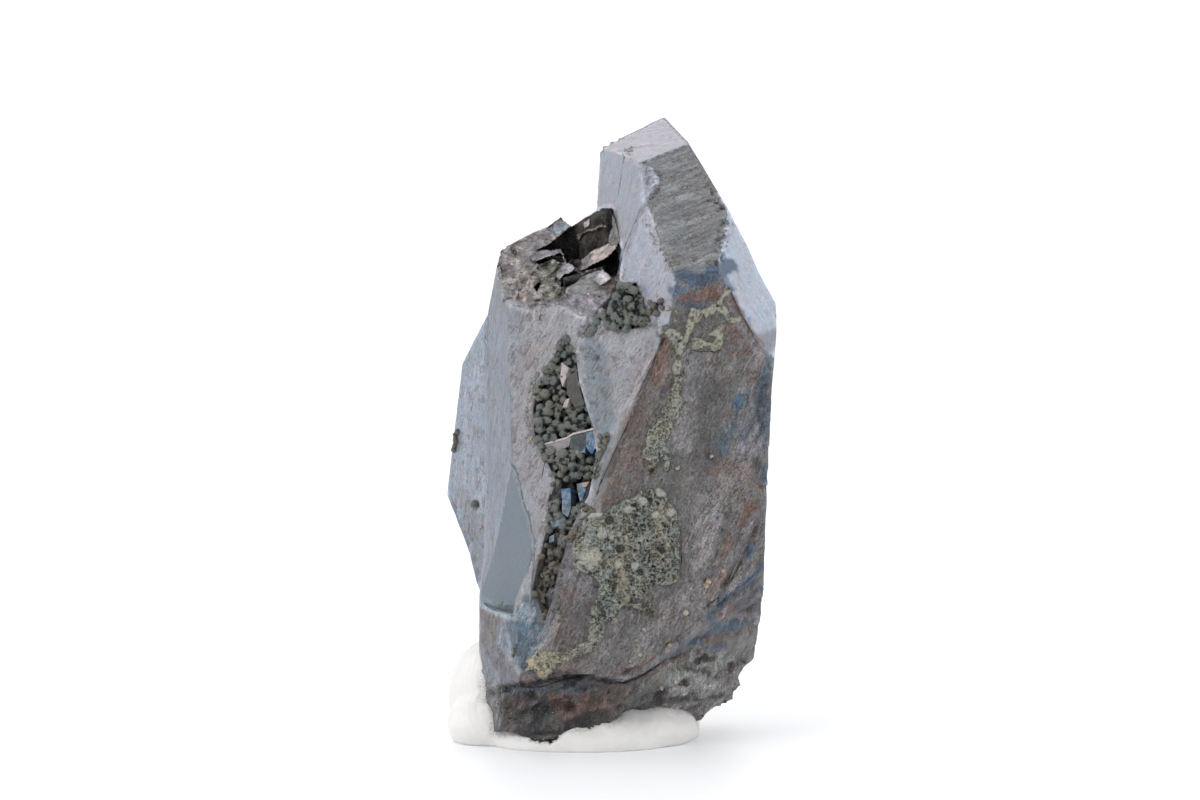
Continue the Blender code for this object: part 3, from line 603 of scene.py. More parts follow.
def stone_material():
    """Dark metallic ferberite. The tint, gloss and striations come from the faces, and the nodes
    add fine mottling, tarnish, grain and scratches."""
    material, tree, shader = new_material("ferberite_stone")
    made = stone_patterns(tree)
    hole = stone_holes(tree, made)
    uneven = maths(tree, "MULTIPLY_ADD", made.fine, 0.24, -0.12)
    worn = product(tree, maths(tree, "ADD", made.fine, made.flow), made.wear)
    normal = bump(tree, product(tree, made.lines, made.streak), 0.9, 0.00012)
    normal = bump(tree, maths(tree, "SUBTRACT", worn, hole), 0.9, 0.00013, Normal=normal)
    normal = bump(tree, made.dust, 0.2, 0.00004, Normal=normal)
    plug(tree, shader, Base_Color=stone_colour(tree, made, hole), Metallic=attribute(tree, "metal"), IOR=1.9,
         Specular_IOR_Level=attribute(tree, "gleam"), Normal=normal,
         Roughness=maths(tree, "ADD", attribute(tree, "gloss"), uneven))
    return material


# Each crust's colours in its gaps, which are dark as painted shade, on its lumps, on its tops and in its
# blooms, its roughness and its grain.
CRUSTS = {
    "olive_crust": ((0.008, 0.009, 0.008), (0.188, 0.199, 0.190), (0.40, 0.405, 0.365), (0.55, 0.55, 0.47),
                    0.75, 11),
    "brown_crust": ((0.015, 0.014, 0.012), (0.19, 0.178, 0.155), (0.36, 0.345, 0.30), (0.55, 0.55, 0.47),
                    0.8, 11),
    "grey_green_crust": ((0.075, 0.077, 0.072), (0.50, 0.505, 0.455), (0.72, 0.72, 0.65), (0.66, 0.66, 0.58),
                         0.85, 10),
    "yellow_crust": ((0.10, 0.10, 0.082), (0.46, 0.455, 0.385), (0.62, 0.60, 0.50), (0.55, 0.55, 0.47),
                     0.9, 11),
    "tan_crust": ((0.10, 0.095, 0.08), (0.56, 0.54, 0.45), (0.78, 0.74, 0.62), (0.80, 0.52, 0.33), 0.9, 11),
    "highlight_edge": ((0.20, 0.24, 0.28), (0.36, 0.42, 0.47), (0.50, 0.54, 0.58), (0.55, 0.55, 0.47), 0.5, 14),
    "shade_edge": ((0.008, 0.008, 0.008), (0.03, 0.028, 0.026), (0.07, 0.065, 0.06), (0.55, 0.55, 0.47),
                  0.7, 14),
    "pale_crumb": ((0.22, 0.21, 0.20), (0.42, 0.40, 0.385), (0.62, 0.60, 0.58), (0.55, 0.55, 0.47), 0.7, 8),
}


def crust_material(name):
    """A dull granular crust, painted dark in its gaps as shade, pale on its tops and with blooms of another
    colour.
    """
    low, high, pale, bloom, roughness, grain = (
        (*value, 1.0) if isinstance(value, tuple) else value for value in CRUSTS[name])
    made, tree, shader = new_material(name)
    place = attribute(tree, "place", "Vector")
    lift = attribute(tree, "lift")
    fine = noise(tree, place, grain, 6.0, 0.82)
    broad = noise(tree, place, 1.6, 3.0, 0.6)
    hue = noise(tree, place, 0.7, 4.0, 0.6)
    hue = mixed(tree, spread(tree, hue, 0.40, 0.60), (1.06, 1.0, 0.86, 1.0), (0.92, 1.0, 1.03, 1.0))
    share = maths(tree, "ADD", lift, maths(tree, "MULTIPLY_ADD", fine, 2.8, -1.4))
    colour = mixed(tree, spread(tree, share, 0.05, 0.85), low, mixed(tree, 1.0, high, hue, "MULTIPLY"))
    tops = product(tree, spread(tree, fine, 0.50, 0.66), spread(tree, lift, 0.35, 0.65))
    tops = product(tree, tops, spread(tree, broad, 0.40, 0.62, 0.25, 1.0))
    colour = mixed(tree, tops, colour, pale)
    share = product(tree, attribute(tree, "bloom"), spread(tree, fine, 0.38, 0.62, 0.05, 0.85))
    colour = mixed(tree, share, colour, bloom)
    plug(tree, shader, Base_Color=colour, Roughness=roughness, Specular_IOR_Level=0.35,
         Normal=bump(tree, fine, 0.9, 0.00022))
    return made


# The glints' two film colours, their roughness and how metallic they are.
GLINT_FILMS = {
    "wall": ((0.075, 0.070, 0.062, 1.0), (0.055, 0.052, 0.048, 1.0), 0.45, 0.2),
    "black": ((0.012, 0.012, 0.013, 1.0), (0.06, 0.06, 0.062, 1.0), 0.25, 0.5),
    "teal": ((0.05, 0.062, 0.064, 1.0), (0.085, 0.10, 0.105, 1.0), 0.2, 0.6),
    "blue": ((0.055, 0.13, 0.23, 1.0), (0.19, 0.25, 0.32, 1.0), 0.25, 0.6),
    "orange": ((0.42, 0.27, 0.17, 1.0), (0.33, 0.31, 0.32, 1.0), 0.25, 0.5),
    "steel": ((0.20, 0.25, 0.29, 1.0), (0.09, 0.125, 0.165, 1.0), 0.25, 0.6),
    "pink": ((0.46, 0.40, 0.38, 1.0), (0.36, 0.32, 0.32, 1.0), 0.35, 0.1),
    "lilac": ((0.25, 0.235, 0.245, 1.0), (0.19, 0.175, 0.18, 1.0), 0.5, 0.3),
}


def glint_material(name):
    """A small bright crystal face with an iridescent film."""
    colour, other, roughness, metallic = GLINT_FILMS[name]
    made, tree, shader = new_material(name + "_glint")
    place = attribute(tree, "place", "Vector")
    film = noise(tree, place, 2.6, 2.0, 0.5, 0.8)
    fine = noise(tree, place, 12.0, 3.0, 0.6)
    plug(tree, shader, Base_Color=mixed(tree, spread(tree, film, 0.42, 0.6), colour, other),
         Metallic=metallic, Roughness=roughness, Normal=bump(tree, fine, 0.3, 0.00004))
    return made


def putty_material():
    """White putty with a fingerprint, a little grit, and dirt where it touches the stone."""
    made, tree, shader = new_material("white_putty")
    place = attribute(tree, "place", "Vector")
    centred = node(tree, "ShaderNodeMapping", Vector=place, Location=(2.0, 9.0, -8.0)).outputs[0]
    rings = {"wave_type": "RINGS", "rings_direction": "SPHERICAL"}
    ridges = node(tree, "ShaderNodeTexWave", rings, Vector=centred, Scale=0.66, Distortion=2.5, Detail=2.0,
                  Detail_Scale=0.5)
    cloud = noise(tree, place, 0.5, 4.0, 0.6)
    grit = noise(tree, place, 7.0, 5.0, 0.75)
    colour = mixed(tree, spread(tree, cloud, 0.35, 0.65), (0.80, 0.79, 0.77, 1.0), (0.75, 0.74, 0.72, 1.0))
    colour = mixed(tree, spread(tree, grit, 0.70, 0.76, 0.0, 0.55), colour, (0.30, 0.26, 0.20, 1.0))
    dirt = product(tree, attribute(tree, "dirt"), spread(tree, grit, 0.42, 0.62, 0.0, 0.8))
    colour = mixed(tree, dirt, colour, (0.34, 0.31, 0.28, 1.0))
    normal = bump(tree, ridges.outputs["Fac"], 0.14, 0.00012)
    normal = bump(tree, grit, 0.3, 0.00008, Normal=normal)
    plug(tree, shader, Base_Color=colour, Roughness=0.72, Subsurface_Weight=0.15,
         Subsurface_Radius=(0.6, 0.5, 0.4), Subsurface_Scale=MM, Normal=normal)
    return made


def floor_material():
    made, tree, shader = new_material("pale_floor")
    place = node(tree, "ShaderNodeTexCoord").outputs["Object"]
    cloud = noise(tree, place, 9.0, 3.0, 0.5)
    plug(tree, shader, Base_Color=mixed(tree, cloud, (0.90, 0.91, 0.93, 1.0), (0.94, 0.945, 0.955, 1.0)),
         Roughness=0.45)
    return made


# Meshes.

def write_attribute(mesh, name, values, kind="FLOAT"):
    made = mesh.attributes.new(name, kind, "POINT")
    key = {"FLOAT": "value", "FLOAT_VECTOR": "vector", "FLOAT_COLOR": "color"}[kind]
    made.data.foreach_set(key, np.ascontiguousarray(values, np.float32).ravel())


def mesh_piece(name, points, faces, material, fields=None, sharp=None):
    """A piece made from points in millimetres."""
    mesh = bpy.data.meshes.new(name)
    mesh.from_pydata(to_metres(points).tolist(), [], faces)
    mesh.validate()
    mesh.update()
    return finish_piece(name, mesh, points, material, fields, sharp)


def finish_piece(name, mesh, points, material, fields=None, sharp=None):
    """A piece made from a mesh, with its material's attributes. It rides on the part's one body."""
    write_attribute(mesh, "place", points, "FLOAT_VECTOR")
    for field, values in (fields or {}).items():
        values = np.asarray(values)
        kind = "FLOAT" if values.ndim == 1 else "FLOAT_VECTOR" if values.shape[1] == 3 else "FLOAT_COLOR"
        write_attribute(mesh, field, values, kind)
    mesh.polygons.foreach_set("use_smooth", [True] * len(mesh.polygons))
    if sharp:
        mesh.set_sharp_from_angle(angle=math.radians(sharp))
    mesh.materials.clear()
    mesh.materials.append(material)
    piece = bpy.data.objects.new(name, mesh)
    bpy.context.scene.collection.objects.link(piece)
    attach(piece, "root")
    return piece


def remeshed(source, mode, **settings):
    """A copy of a mesh after a Remesh modifier."""
    copy = bpy.data.objects.new("copy", source.copy())
    bpy.context.scene.collection.objects.link(copy)
    step = copy.modifiers.new("remesh", "REMESH")
    step.mode = mode
    for name, value in settings.items():
        setattr(step, name, value)
    graph = bpy.context.evaluated_depsgraph_get()
    mesh = bpy.data.meshes.new_from_object(copy.evaluated_get(graph))
    bpy.data.objects.remove(copy)
    return mesh


def coordinates(mesh):
    flat = np.empty(len(mesh.vertices) * 3)
    mesh.vertices.foreach_get("co", flat)
    return flat.reshape(-1, 3)


def move_vertices(mesh, points):
    mesh.vertices.foreach_set("co", to_metres(points).ravel())
    mesh.update()


def vertex_normals(mesh):
    flat = np.empty(len(mesh.vertices) * 3)
    mesh.vertex_normals.foreach_get("vector", flat)
    return flat.reshape(-1, 3)


def edge_pairs(mesh):
    flat = np.empty(len(mesh.edges) * 2, int)
    mesh.edges.foreach_get("vertices", flat)
    return flat.reshape(-1, 2)


def averaged(values, pairs, rounds=1):
    """Values smoothed over neighbouring vertices."""
    count = np.zeros(len(values))
    np.add.at(count, pairs[:, 0], 1)
    np.add.at(count, pairs[:, 1], 1)
    shape = (-1,) + (1,) * (values.ndim - 1)
    for _ in range(rounds):
        total = np.zeros_like(values)
        np.add.at(total, pairs[:, 0], values[pairs[:, 1]])
        np.add.at(total, pairs[:, 1], values[pairs[:, 0]])
        values = total / np.maximum(count, 1).reshape(shape)
    return values


def outward(normals, points, pairs, rounds):
    """How far each vertex stands out from its neighbours."""
    return np.einsum("ij,ij->i", normals, points - averaged(points, pairs, rounds))


def gleam_of(tint):
    """Dark stains and soot, painted shade and deep pits shine less than clean stone."""
    return 0.5 * smooth(0.0, 0.10, tint.mean(axis=1)) + 0.02


def opaque(tint):
    return np.concatenate((tint, np.ones((len(tint), 1))), axis=1)


# The crystal. Its skin holds, for each vertex, its place, the number of the face that it lies on, where and
# how squarely it shows in the view, its face's look, and how far it moves out.

def new_skin(mesh):
    points = to_mm(coordinates(mesh))
    press_crusts(points)
    normals = vertex_normals(mesh)
    facing = np.einsum("ij,ij->i", normals, EYE - points) / DISTANCE
    u, v = to_pixels(points)
    return SimpleNamespace(points=points, base=points.copy(), normals=normals, pairs=edge_pairs(mesh), u=u,
                           v=v, facet=nearest_facets(points, normals), seen=smooth(0.0, 0.15, facing),
                           move=np.zeros(len(points)))


def press_crusts(points):
    """The low crusts get finer pieces of their own, so their lumps are pressed flat here."""
    for name, top in (("front_right", 45.0), ("front_left", 31.5)):
        face = FACETS[name].face
        height = (points - np.array(face.at)) @ direction(face)
        lumps = (height > 0) & (height < 0.9) & (points[:, 2] < top)
        points[lumps] -= height[lumps, None] * direction(face)


def nearest_facets(points, normals):
    """The number of the face that each vertex lies on, which is one past the last for none of them."""
    facet = np.full(len(points), len(FACETS))
    closest = np.full(len(points), 0.45)
    for index, row in enumerate(FACETS.values()):
        out = direction(row.face)
        height = np.abs((points - np.array(row.face.at)) @ out)
        better = (height < closest) & (normals @ out > 0.86)
        facet[better] = index
        closest[better] = height[better]
    return facet


def on(skin, name):
    return skin.facet == list(FACETS).index(name)


def lay_grain(skin):
    """Gives each vertex its face's look, and its place along and across the face's striations."""
    count = len(skin.points)
    skin.grain, skin.tint = np.zeros((count, 3)), np.zeros((count, 3))
    skin.streak, skin.gloss, skin.wear = np.zeros(count), np.zeros(count), np.zeros(count)
    for index, row in enumerate([*FACETS.values(), OTHER]):
        chosen = skin.facet == index
        away = skin.points[chosen] - np.array(row.face.at)
        along, rise = (away @ axis for axis in axes(row.face))
        if row is OTHER:
            along = away[:, 0] + away[:, 1]
        turn = math.radians(row.angle)
        skin.grain[chosen] = np.stack((
            along * math.cos(turn) + rise * math.sin(turn),
            rise * math.cos(turn) - along * math.sin(turn),
            np.full(chosen.sum(), index * 7.3)), axis=1)
        skin.streak[chosen] = row.streak
        skin.tint[chosen] = row.tint
        skin.gloss[chosen] = row.gloss
        skin.wear[chosen] = row.wear


def wear_down(skin):
    """Rougher stone under the shelf on the left and beside the large crust."""
    under_shelf = smooth(600, 606, skin.v) * smooth(700, 690, skin.v) * smooth(552, 545, skin.u) * skin.seen
    beside_crust = smooth(2.0, -2.0, outside(skin.u, skin.v, BESIDE_CRUST)) * skin.seen
    skin.wear = np.maximum(np.maximum(skin.wear, 0.75 * under_shelf), beside_crust)
    skin.streak *= 1 - 0.8 * under_shelf


def add_unevenness(skin):
    """Fine unevenness everywhere, and growth lines that stand a little proud."""
    worn_away = averaged(skin.wear, skin.pairs, 3)
    skin.move += worn_away * (0.035 * rough(skin.points * 0.9, 3, 1) + 0.030 * rough(skin.points * 2.3, 2, 3))
    lines = rough(skin.grain * np.array((0.12, 1.3, 1.0)), 3, 2)
    skin.move += 0.016 * skin.streak * lines


def break_top(skin):
    """The rough left-hand part of the broken top, and what lies behind it."""
    points = skin.points
    ragged = outside(skin.u, skin.v, BROKEN_AREA) + 4 * rough(points * 0.9, 2, 5)
    skin.top = smooth(3.0, -3.0, ragged) * skin.seen
    behind = smooth(33.5, 34.5, points[:, 2]) * smooth(1.0, 0.0, points[:, 0])
    behind = behind * smooth(-3.0, -1.5, points[:, 1]) * smooth(7.5, 6.0, points[:, 1])
    skin.top = np.maximum(skin.top, behind * (skin.facet == len(FACETS)))
    layer = points @ np.array((0.35, 0.4, 0.85)) * 1.7 + 0.5 * rough(points * 0.7, 3, 6)
    terrace = (np.floor(layer) + smooth(0.35, 0.65, layer - np.floor(layer)) - layer) * 0.30
    skin.move += skin.top * (terrace + 0.07 * rough(points * 0.9, 4, 7))


def break_foot(skin):
    """The break below the ledge at the foot: slanting ripples and broken blocks."""
    points, u, v = skin.points, skin.u, skin.v
    below = outside(u, v, FOOT_AREA)
    hidden = smooth(6.5, 5.0, points[:, 2] + 0.8 * rough(points * 0.5, 2, 9)) * (1 - skin.seen)
    skin.foot = np.maximum(smooth(2.0, -2.0, below + 2.5 * rough(points * 0.8, 3, 8)) * skin.seen, hidden)
    band = points @ np.array((-0.32, 0.1, 0.94))
    skin.ripple = rough(np.stack((points[:, 0] * 0.35, points[:, 1] * 0.35, band * 1.5), axis=1), 4, 10)
    blocks = pebbles(points * np.array((0.55, 0.8, 0.8)) + 0.35 * rough(points * 0.8, 2, 17)[:, None], 18)
    under = smooth(1.5, -1.5, below) * skin.seen
    skin.move -= 0.14 * under * smooth(2.5, 4.0, points[:, 2]) * smooth(505, 520, u)
    skin.move += 0.10 * under * smooth(505, 495, u)
    calm = 1 - 0.9 * smooth(3.0, 2.0, points[:, 2])
    broken = 0.26 * skin.ripple + 0.12 * rough(points * 2.0, 3, 11) + 0.35 * (0.5 - blocks)
    skin.move += calm * skin.foot * broken


def add_steps(skin):
    """The step across the tall crystal's left face, and the layer grown over the slope beside it."""
    step_line = outside(skin.u, skin.v, STEP_AREA)
    skin.move += on(skin, "tall_left") * 0.13 * smooth(1.5, -1.5, step_line)
    notched = outside(skin.u, skin.v, NOTCHED_AREA) + 1.6 * rough(skin.points * 2.6, 2, 12)
    skin.grown = on(skin, "slope") * smooth(0.8, -0.8, notched)
    ridge = np.interp(skin.v, (162, 205), (641, 645))
    skin.move += skin.grown * np.clip((skin.u - ridge) / 16.0, 0, 1) * 0.40


def add_pits(skin):
    """The pitted edges, then round pits and small dents."""
    u, v = skin.u, skin.v
    near = pebbles(skin.points * 2.6, 13)
    sloped = on(skin, "slope") | on(skin, "pale_right")
    skin.move -= sloped * smooth(11, 2, off_path(u, v, PITTED_SLOPE)) * 0.30 * smooth(0.55, 0.15, near)
    skin.move -= smooth(6, 1, off_path(u, v, PITTED_NOTCHES)) * skin.seen * 0.18 * smooth(0.5, 0.15, near)
    for pit_u, pit_v, size, depth in PITS:
        skin.move -= skin.seen * depth * smooth(size, size * 0.4, np.hypot(u - pit_u, v - pit_v))


def add_ridges(skin):
    for index, (height, width, path) in enumerate(RIDGES):
        near = near_path(skin.u, skin.v, path, width + 4) & (skin.seen > 0)
        edge = off_path(skin.u[near], skin.v[near], path)
        edge = edge + 1.6 * rough(skin.base[near] * 0.9 + index * 2.7, 3, 15)
        skin.move[near] += skin.seen[near] * height * smooth(width, 0, edge)


def settle(skin):
    """Moves each vertex out, lowers the crest and the foot's tip, and fills or trims the outline."""
    skin.points = points = skin.points + skin.normals * skin.move[:, None]
    crest = smooth(15, 8, np.abs(skin.u - 563)) * smooth(234, 228, skin.v) * smooth(5.0, 3.5, points[:, 1])
    points[:, 2] -= 0.40 * crest * (skin.seen > 0)
    points[:, 2] -= 0.36 * (smooth(34, 8, np.abs(skin.u - 540)) * smooth(4.5, 1.2, points[:, 2]))
    points[:, 2] = np.maximum(points[:, 2], 0.12)
    x, z = points[:, 0].copy(), points[:, 2]
    points[:, 0] += 0.32 * smooth(10.0, 12.0, x) * smooth(27.0, 32.0, z) * smooth(36.5, 32.4, z)
    points[:, 0] += 0.30 * smooth(9.0, 11.5, x) * smooth(4.5, 6.5, z) * smooth(15.0, 10.0, z)
    points[:, 0] -= 0.38 * smooth(-7.0, -9.0, x) * smooth(5.0, 7.0, z) * smooth(14.5, 11.0, z)


def clear_break(skin):
    """What lies behind the detailed break at the top goes back, out of its way, and is calmed."""
    u, v = skin.u, skin.v
    back = smooth(-1.0, -3.0, outside(u, v, BREAKS[0][0])) * 1.8
    back *= ~on(skin, "low_left") * smooth(5.0, 3.5, skin.points[:, 1])
    back *= (skin.seen > 0) * ((v < 330) & (u < 626))
    away = skin.points - EYE
    points = skin.points + away / np.linalg.norm(away, axis=1)[:, None] * back[:, None]
    calm = smooth(0.5, 2.0, skin.base[:, 1]) * smooth(245, 236, v)
    calm = calm * smooth(596, 588, u) * smooth(35.0, 36.5, skin.base[:, 2])
    skin.points = points + calm[:, None] * (averaged(points, skin.pairs, 12) - points)


def paint(skin, mask, colour, share=1.0):
    skin.tint += (np.clip(mask, 0, 1) * share)[:, None] * (np.array(colour) - skin.tint)


def stain(skin, table, region):
    """Paints stains with ragged edges along their paths."""
    for index, (colour, share, width, ragged, path) in enumerate(table):
        near = near_path(skin.u, skin.v, path, width + 2 * ragged) & (region > 0)
        base = skin.base[near]
        edge = off_path(skin.u[near], skin.v[near], path)
        edge = edge + 0.7 * ragged * rough(base * 0.55 + index * 3.3, 3, 80)
        edge += (0.5 + 0.6 * ragged) * rough(base * 2.1, 3, 88)
        mask = region[near] * smooth(width, width * 0.5, edge) * share
        skin.tint[near] += mask[:, None] * (np.array(COLOURS[colour]) - skin.tint[near])


def paint_faces(skin):
    """Soft tarnish everywhere, the strips beside the crusts, the front's corner, and the shelf, painted
    lighter as light on it, with a painted highlight on its lip.
    """
    u, v, seen = skin.u, skin.v, skin.seen
    paint(skin, skin.grown, FACETS["tall_left"].tint, 0.9)
    skin.streak *= 1 - skin.grown
    for size, seed, tarnish in ((0.30, 20, (0.20, 0.165, 0.145)), (0.45, 30, (0.15, 0.16, 0.18))):
        soft = rough(skin.base * size, 4, seed)
        paint(skin, smooth(0.1, 0.7, soft) * (0.25 + 0.75 * skin.wear), tarnish, 0.30)
    beside = outside(u, v, BESIDE_STREAK) + 0.7 * rough(skin.base * 1.8, 3, 24)
    paint(skin, seen * smooth(0.6, -0.6, beside), (0.132, 0.115, 0.106), 0.70)
    beside = outside(u, v, BESIDE_CRUST) + 1.5 * rough(skin.base * 1.4, 3, 25)
    paint(skin, seen * smooth(1.0, -1.0, beside), (0.118, 0.114, 0.123), 0.85)
    low_corner = (v > np.interp(u, CORNER_U, CORNER_V) - 1) & (u > CORNER_U[0])
    paint(skin, on(skin, "pale_right") * low_corner * (v > 300), FACETS["front_right"].tint, 0.85)
    paint(skin, on(skin, "pale_right") * smooth(13, 8, off_path(u, v, RIGHT_CORNER)), COLOURS["violet"], 0.6)
    stain(skin, STAINS, seen * (1 - skin.foot))
    # Painted light: the shelf under the cleaved face is lightened, and its lip gets a painted highlight.
    paint(skin, seen * smooth(7.0, 4.5, off_path(u, v, SHELF)), (0.155, 0.195, 0.23), 0.9)
    paint(skin, seen * smooth(3.4, 1.2, off_path(u, v, SHELF_LIP)), (0.27, 0.315, 0.35), 0.8)


def paint_breaks(skin):
    """The foot's brown, rust and blue, painted shade in the gap under its ledge, and the grey and brown of
    the broken top.
    """
    foot, top = skin.foot, skin.top
    paint(skin, foot, (0.074, 0.068, 0.065))
    paint(skin, foot * smooth(0.0, 0.5, skin.ripple), (0.10, 0.06, 0.045), 0.6)
    paint(skin, foot * smooth(0.1, 0.5, -skin.ripple), (0.045, 0.06, 0.08), 0.7)
    paint(skin, smooth(635, 670, skin.u) * skin.seen * foot, (0.245, 0.245, 0.24), 0.85)
    stain(skin, FOOT_STAINS, skin.seen * foot)
    # Painted shade: the gap under the ledge is painted nearly black.
    gap = off_path(skin.u, skin.v, LEDGE_GAP) + 0.8 * rough(skin.base * 1.2, 2, 19)
    paint(skin, skin.seen * smooth(3.2, 0.5, gap), COLOURS["black"], 0.75)
    paint(skin, top, (0.18, 0.160, 0.152))
    paint(skin, top * smooth(0.1, 0.6, rough(skin.base * 1.1, 3, 22)), (0.30, 0.26, 0.23), 0.6)
    paint(skin, top * smooth(0.1, 0.6, rough(skin.base * 1.3, 3, 23)), (0.08, 0.08, 0.085), 0.7)


def light_edges(skin):
    """Worn edges catch the light as a painted highlight and creases get painted shade, but for the crease at
    the shelf.
    """
    bulge = averaged(outward(skin.normals, skin.points, skin.pairs, 2), skin.pairs, 1)
    deep = smooth(-0.015, -0.06, bulge) * smooth(4, 9, off_path(skin.u, skin.v, SHELF_CREASE))
    skin.tint *= (1 + 0.55 * smooth(0.015, 0.06, bulge) - 0.5 * deep)[:, None]


def make_crystal():
    """The crystals, with their striations, steps, pits, broken top and tarnish."""
    mesh = remeshed(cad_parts["ferberite_crystal"].data, "SHARP", octree_depth=8, scale=0.84,
                    sharpness=1.0, use_remove_disconnected=False)
    skin = new_skin(mesh)
    lay_grain(skin)
    wear_down(skin)
    add_unevenness(skin)
    break_top(skin)
    break_foot(skin)
    add_steps(skin)
    add_pits(skin)
    add_ridges(skin)
    settle(skin)
    clear_break(skin)
    move_vertices(mesh, skin.points)
    paint_faces(skin)
    paint_breaks(skin)
    light_edges(skin)
    broken = np.maximum(skin.top, skin.foot)
    fields = {"tint": opaque(np.clip(skin.tint, 0.01, 0.9)), "grain": skin.grain,
              "streak": skin.streak * (1 - broken), "gloss": skin.gloss + 0.12 * broken,
              "metal": 0.45 - 0.25 * broken, "wear": np.maximum(skin.wear, broken),
              "gleam": gleam_of(skin.tint)}
    piece = finish_piece("crystal_body", mesh, skin.points, stone_material(), fields, 32)
    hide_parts("ferberite_crystal")
    return piece


def surface_of(piece):
    """What rays from the eye hit, in millimetres."""
    faces = [list(face.vertices) for face in piece.data.polygons]
    return BVHTree.FromPolygons(to_mm(coordinates(piece.data)).tolist(), faces)


def hit(surface, u, v):
    """The point and the outward normal that show at a pixel, or None."""
    spot, normal, _, _ = surface.ray_cast(Vector(EYE), Vector(sight(u, v)))
    if spot is None:
        return None
    return np.array(spot), np.array(normal)


# Crusts.

def worms(points, seed):
    """Winding ridges, from 1 along their tops to 0 between them."""
    return np.clip(1 - 2.4 * np.abs(rough(points, 3, seed, 0.55)), 0, 1)


def worn_crust(size, seed, pitted=0.9):
    """A relief of winding ridges of two sizes, with pits."""
    def relief(points):
        ridges = 0.45 * worms(points * 0.9 * size, seed + 1) + 0.40 * worms(points * 2.0 * size, seed + 2)
        swell = 0.22 * rough(points * 0.4 * size, 2, seed + 3)
        near = pebbles(points * 0.8 * size, seed) + 0.25 * rough(points * 2.2 * size, 2, seed + 4)
        return 0.10 + ridges + swell - pitted * smooth(0.30, 0.05, near)
    return relief


def flat_crust(points):
    """A granular relief with small holes."""
    near = pebbles(points * 1.6 + 0.3 * rough(points * 2.0, 2, 47)[:, None], 48)
    return 0.50 + 0.45 * rough(points * 4.6, 3, 56) - 0.6 * smooth(0.22, 0.08, near)


def cast_grid(surface, box, step):
    """A grid of pixels cast on the surface: the number of what each hits, and its place, normal and pixel."""
    us, vs = np.arange(box[0], box[2], step), np.arange(box[1], box[3], step)
    grid = [[None] * len(vs) for _ in us]
    struck = []
    for i, u in enumerate(us):
        for j, v in enumerate(vs):
            found = hit(surface, u, v)
            if found:
                grid[i][j] = len(struck)
                struck.append((*found, (u, v)))
    return grid, *(np.array(column) for column in zip(*struck))


def grid_quads(grid, keep, spots, longest):
    """The grid's squares whose corners are all kept and close together."""
    quads = []
    for row, following in zip(grid, grid[1:]):
        for j in range(len(row) - 1):
            ring = (row[j], following[j], following[j + 1], row[j + 1])
            if None in ring or not all(keep[k] for k in ring):
                continue
            if max(np.linalg.norm(spots[ring[k]] - spots[ring[k - 1]]) for k in range(4)) < longest:
                quads.append(ring[::-1])
    return quads


def crust_patch(name, surface, signed, box, height, relief, material, step, rim, blooms=()):
    """A crust grown over the front, where signed(u, v, places) is below zero. Its rim is round and its
    underside lies inside the crystal, so it is closed. Blooms are pixels and radii."""
    grid, spots, outs, pixels = cast_grid(surface, box, step)
    edge = signed(pixels[:, 0], pixels[:, 1], spots)
    quads = np.array(grid_quads(grid, edge < 1.0, spots, 0.6 * step))
    used = np.unique(quads)
    spots, outs, edge, pixels = spots[used], outs[used], edge[used], pixels[used]
    grown = smooth(0.8, -rim, edge)
    bloom = np.zeros(len(spots))
    for u, v, size in blooms:
        off = np.hypot(pixels[:, 0] - u, pixels[:, 1] - v) + 0.25 * size * rough(spots * 1.6, 3, 49)
        bloom = np.maximum(bloom, smooth(size, 0.45 * size, off))
    raised = relief(spots)
    raised += bloom * (0.75 - raised) * 0.6
    top = spots + outs * (grown * (height * (0.35 + raised)) - 0.05 * (1 - grown))[:, None]
    below = spots - outs * 0.22
    faces = closed_sheet(np.searchsorted(used, quads).tolist(), len(spots))
    hidden = np.zeros(len(spots))
    # The lift falls towards the rim, so the rim takes the dark gap colour as a painted contact shadow.
    lift = np.clip(0.20 + raised, 0, 1) * (0.1 + 0.9 * grown)
    fields = {"lift": np.concatenate((lift, hidden)), "bloom": np.concatenate((bloom, hidden))}
    piece = mesh_piece(name, np.concatenate((top, below)), faces, material, fields)


def closed_sheet(quads, count):
    """The faces of a sheet, of its underside, whose corners come after its own, and of its rim."""
    once = {}
    for quad in quads:
        for a, b in zip(quad, quad[1:] + quad[:1]):
            if (b, a) in once:
                del once[(b, a)]
            else:
                once[(a, b)] = True
    faces = quads + [[k + count for k in quad[::-1]] for quad in quads]
    return faces + [(b, a, a + count, b + count) for a, b in once]


# The broken top. Its grid covers this part of the view at this step, in pixels, and it is this thick in mm.
BREAK_BOX = (494, 203, 628, 325)
BREAK_STEP = 0.75
BREAK_THICKNESS = 0.45


def plane_depth(corners, u, v):
    """The depth at pixels of a plane through three (u, v, depth) points."""
    table = np.array([(1.0, a, b) for a, b, _ in corners])
    weights = np.linalg.solve(table, np.array([depth for _, _, depth in corners]))
    return weights[0] + weights[1] * u + weights[2] * v


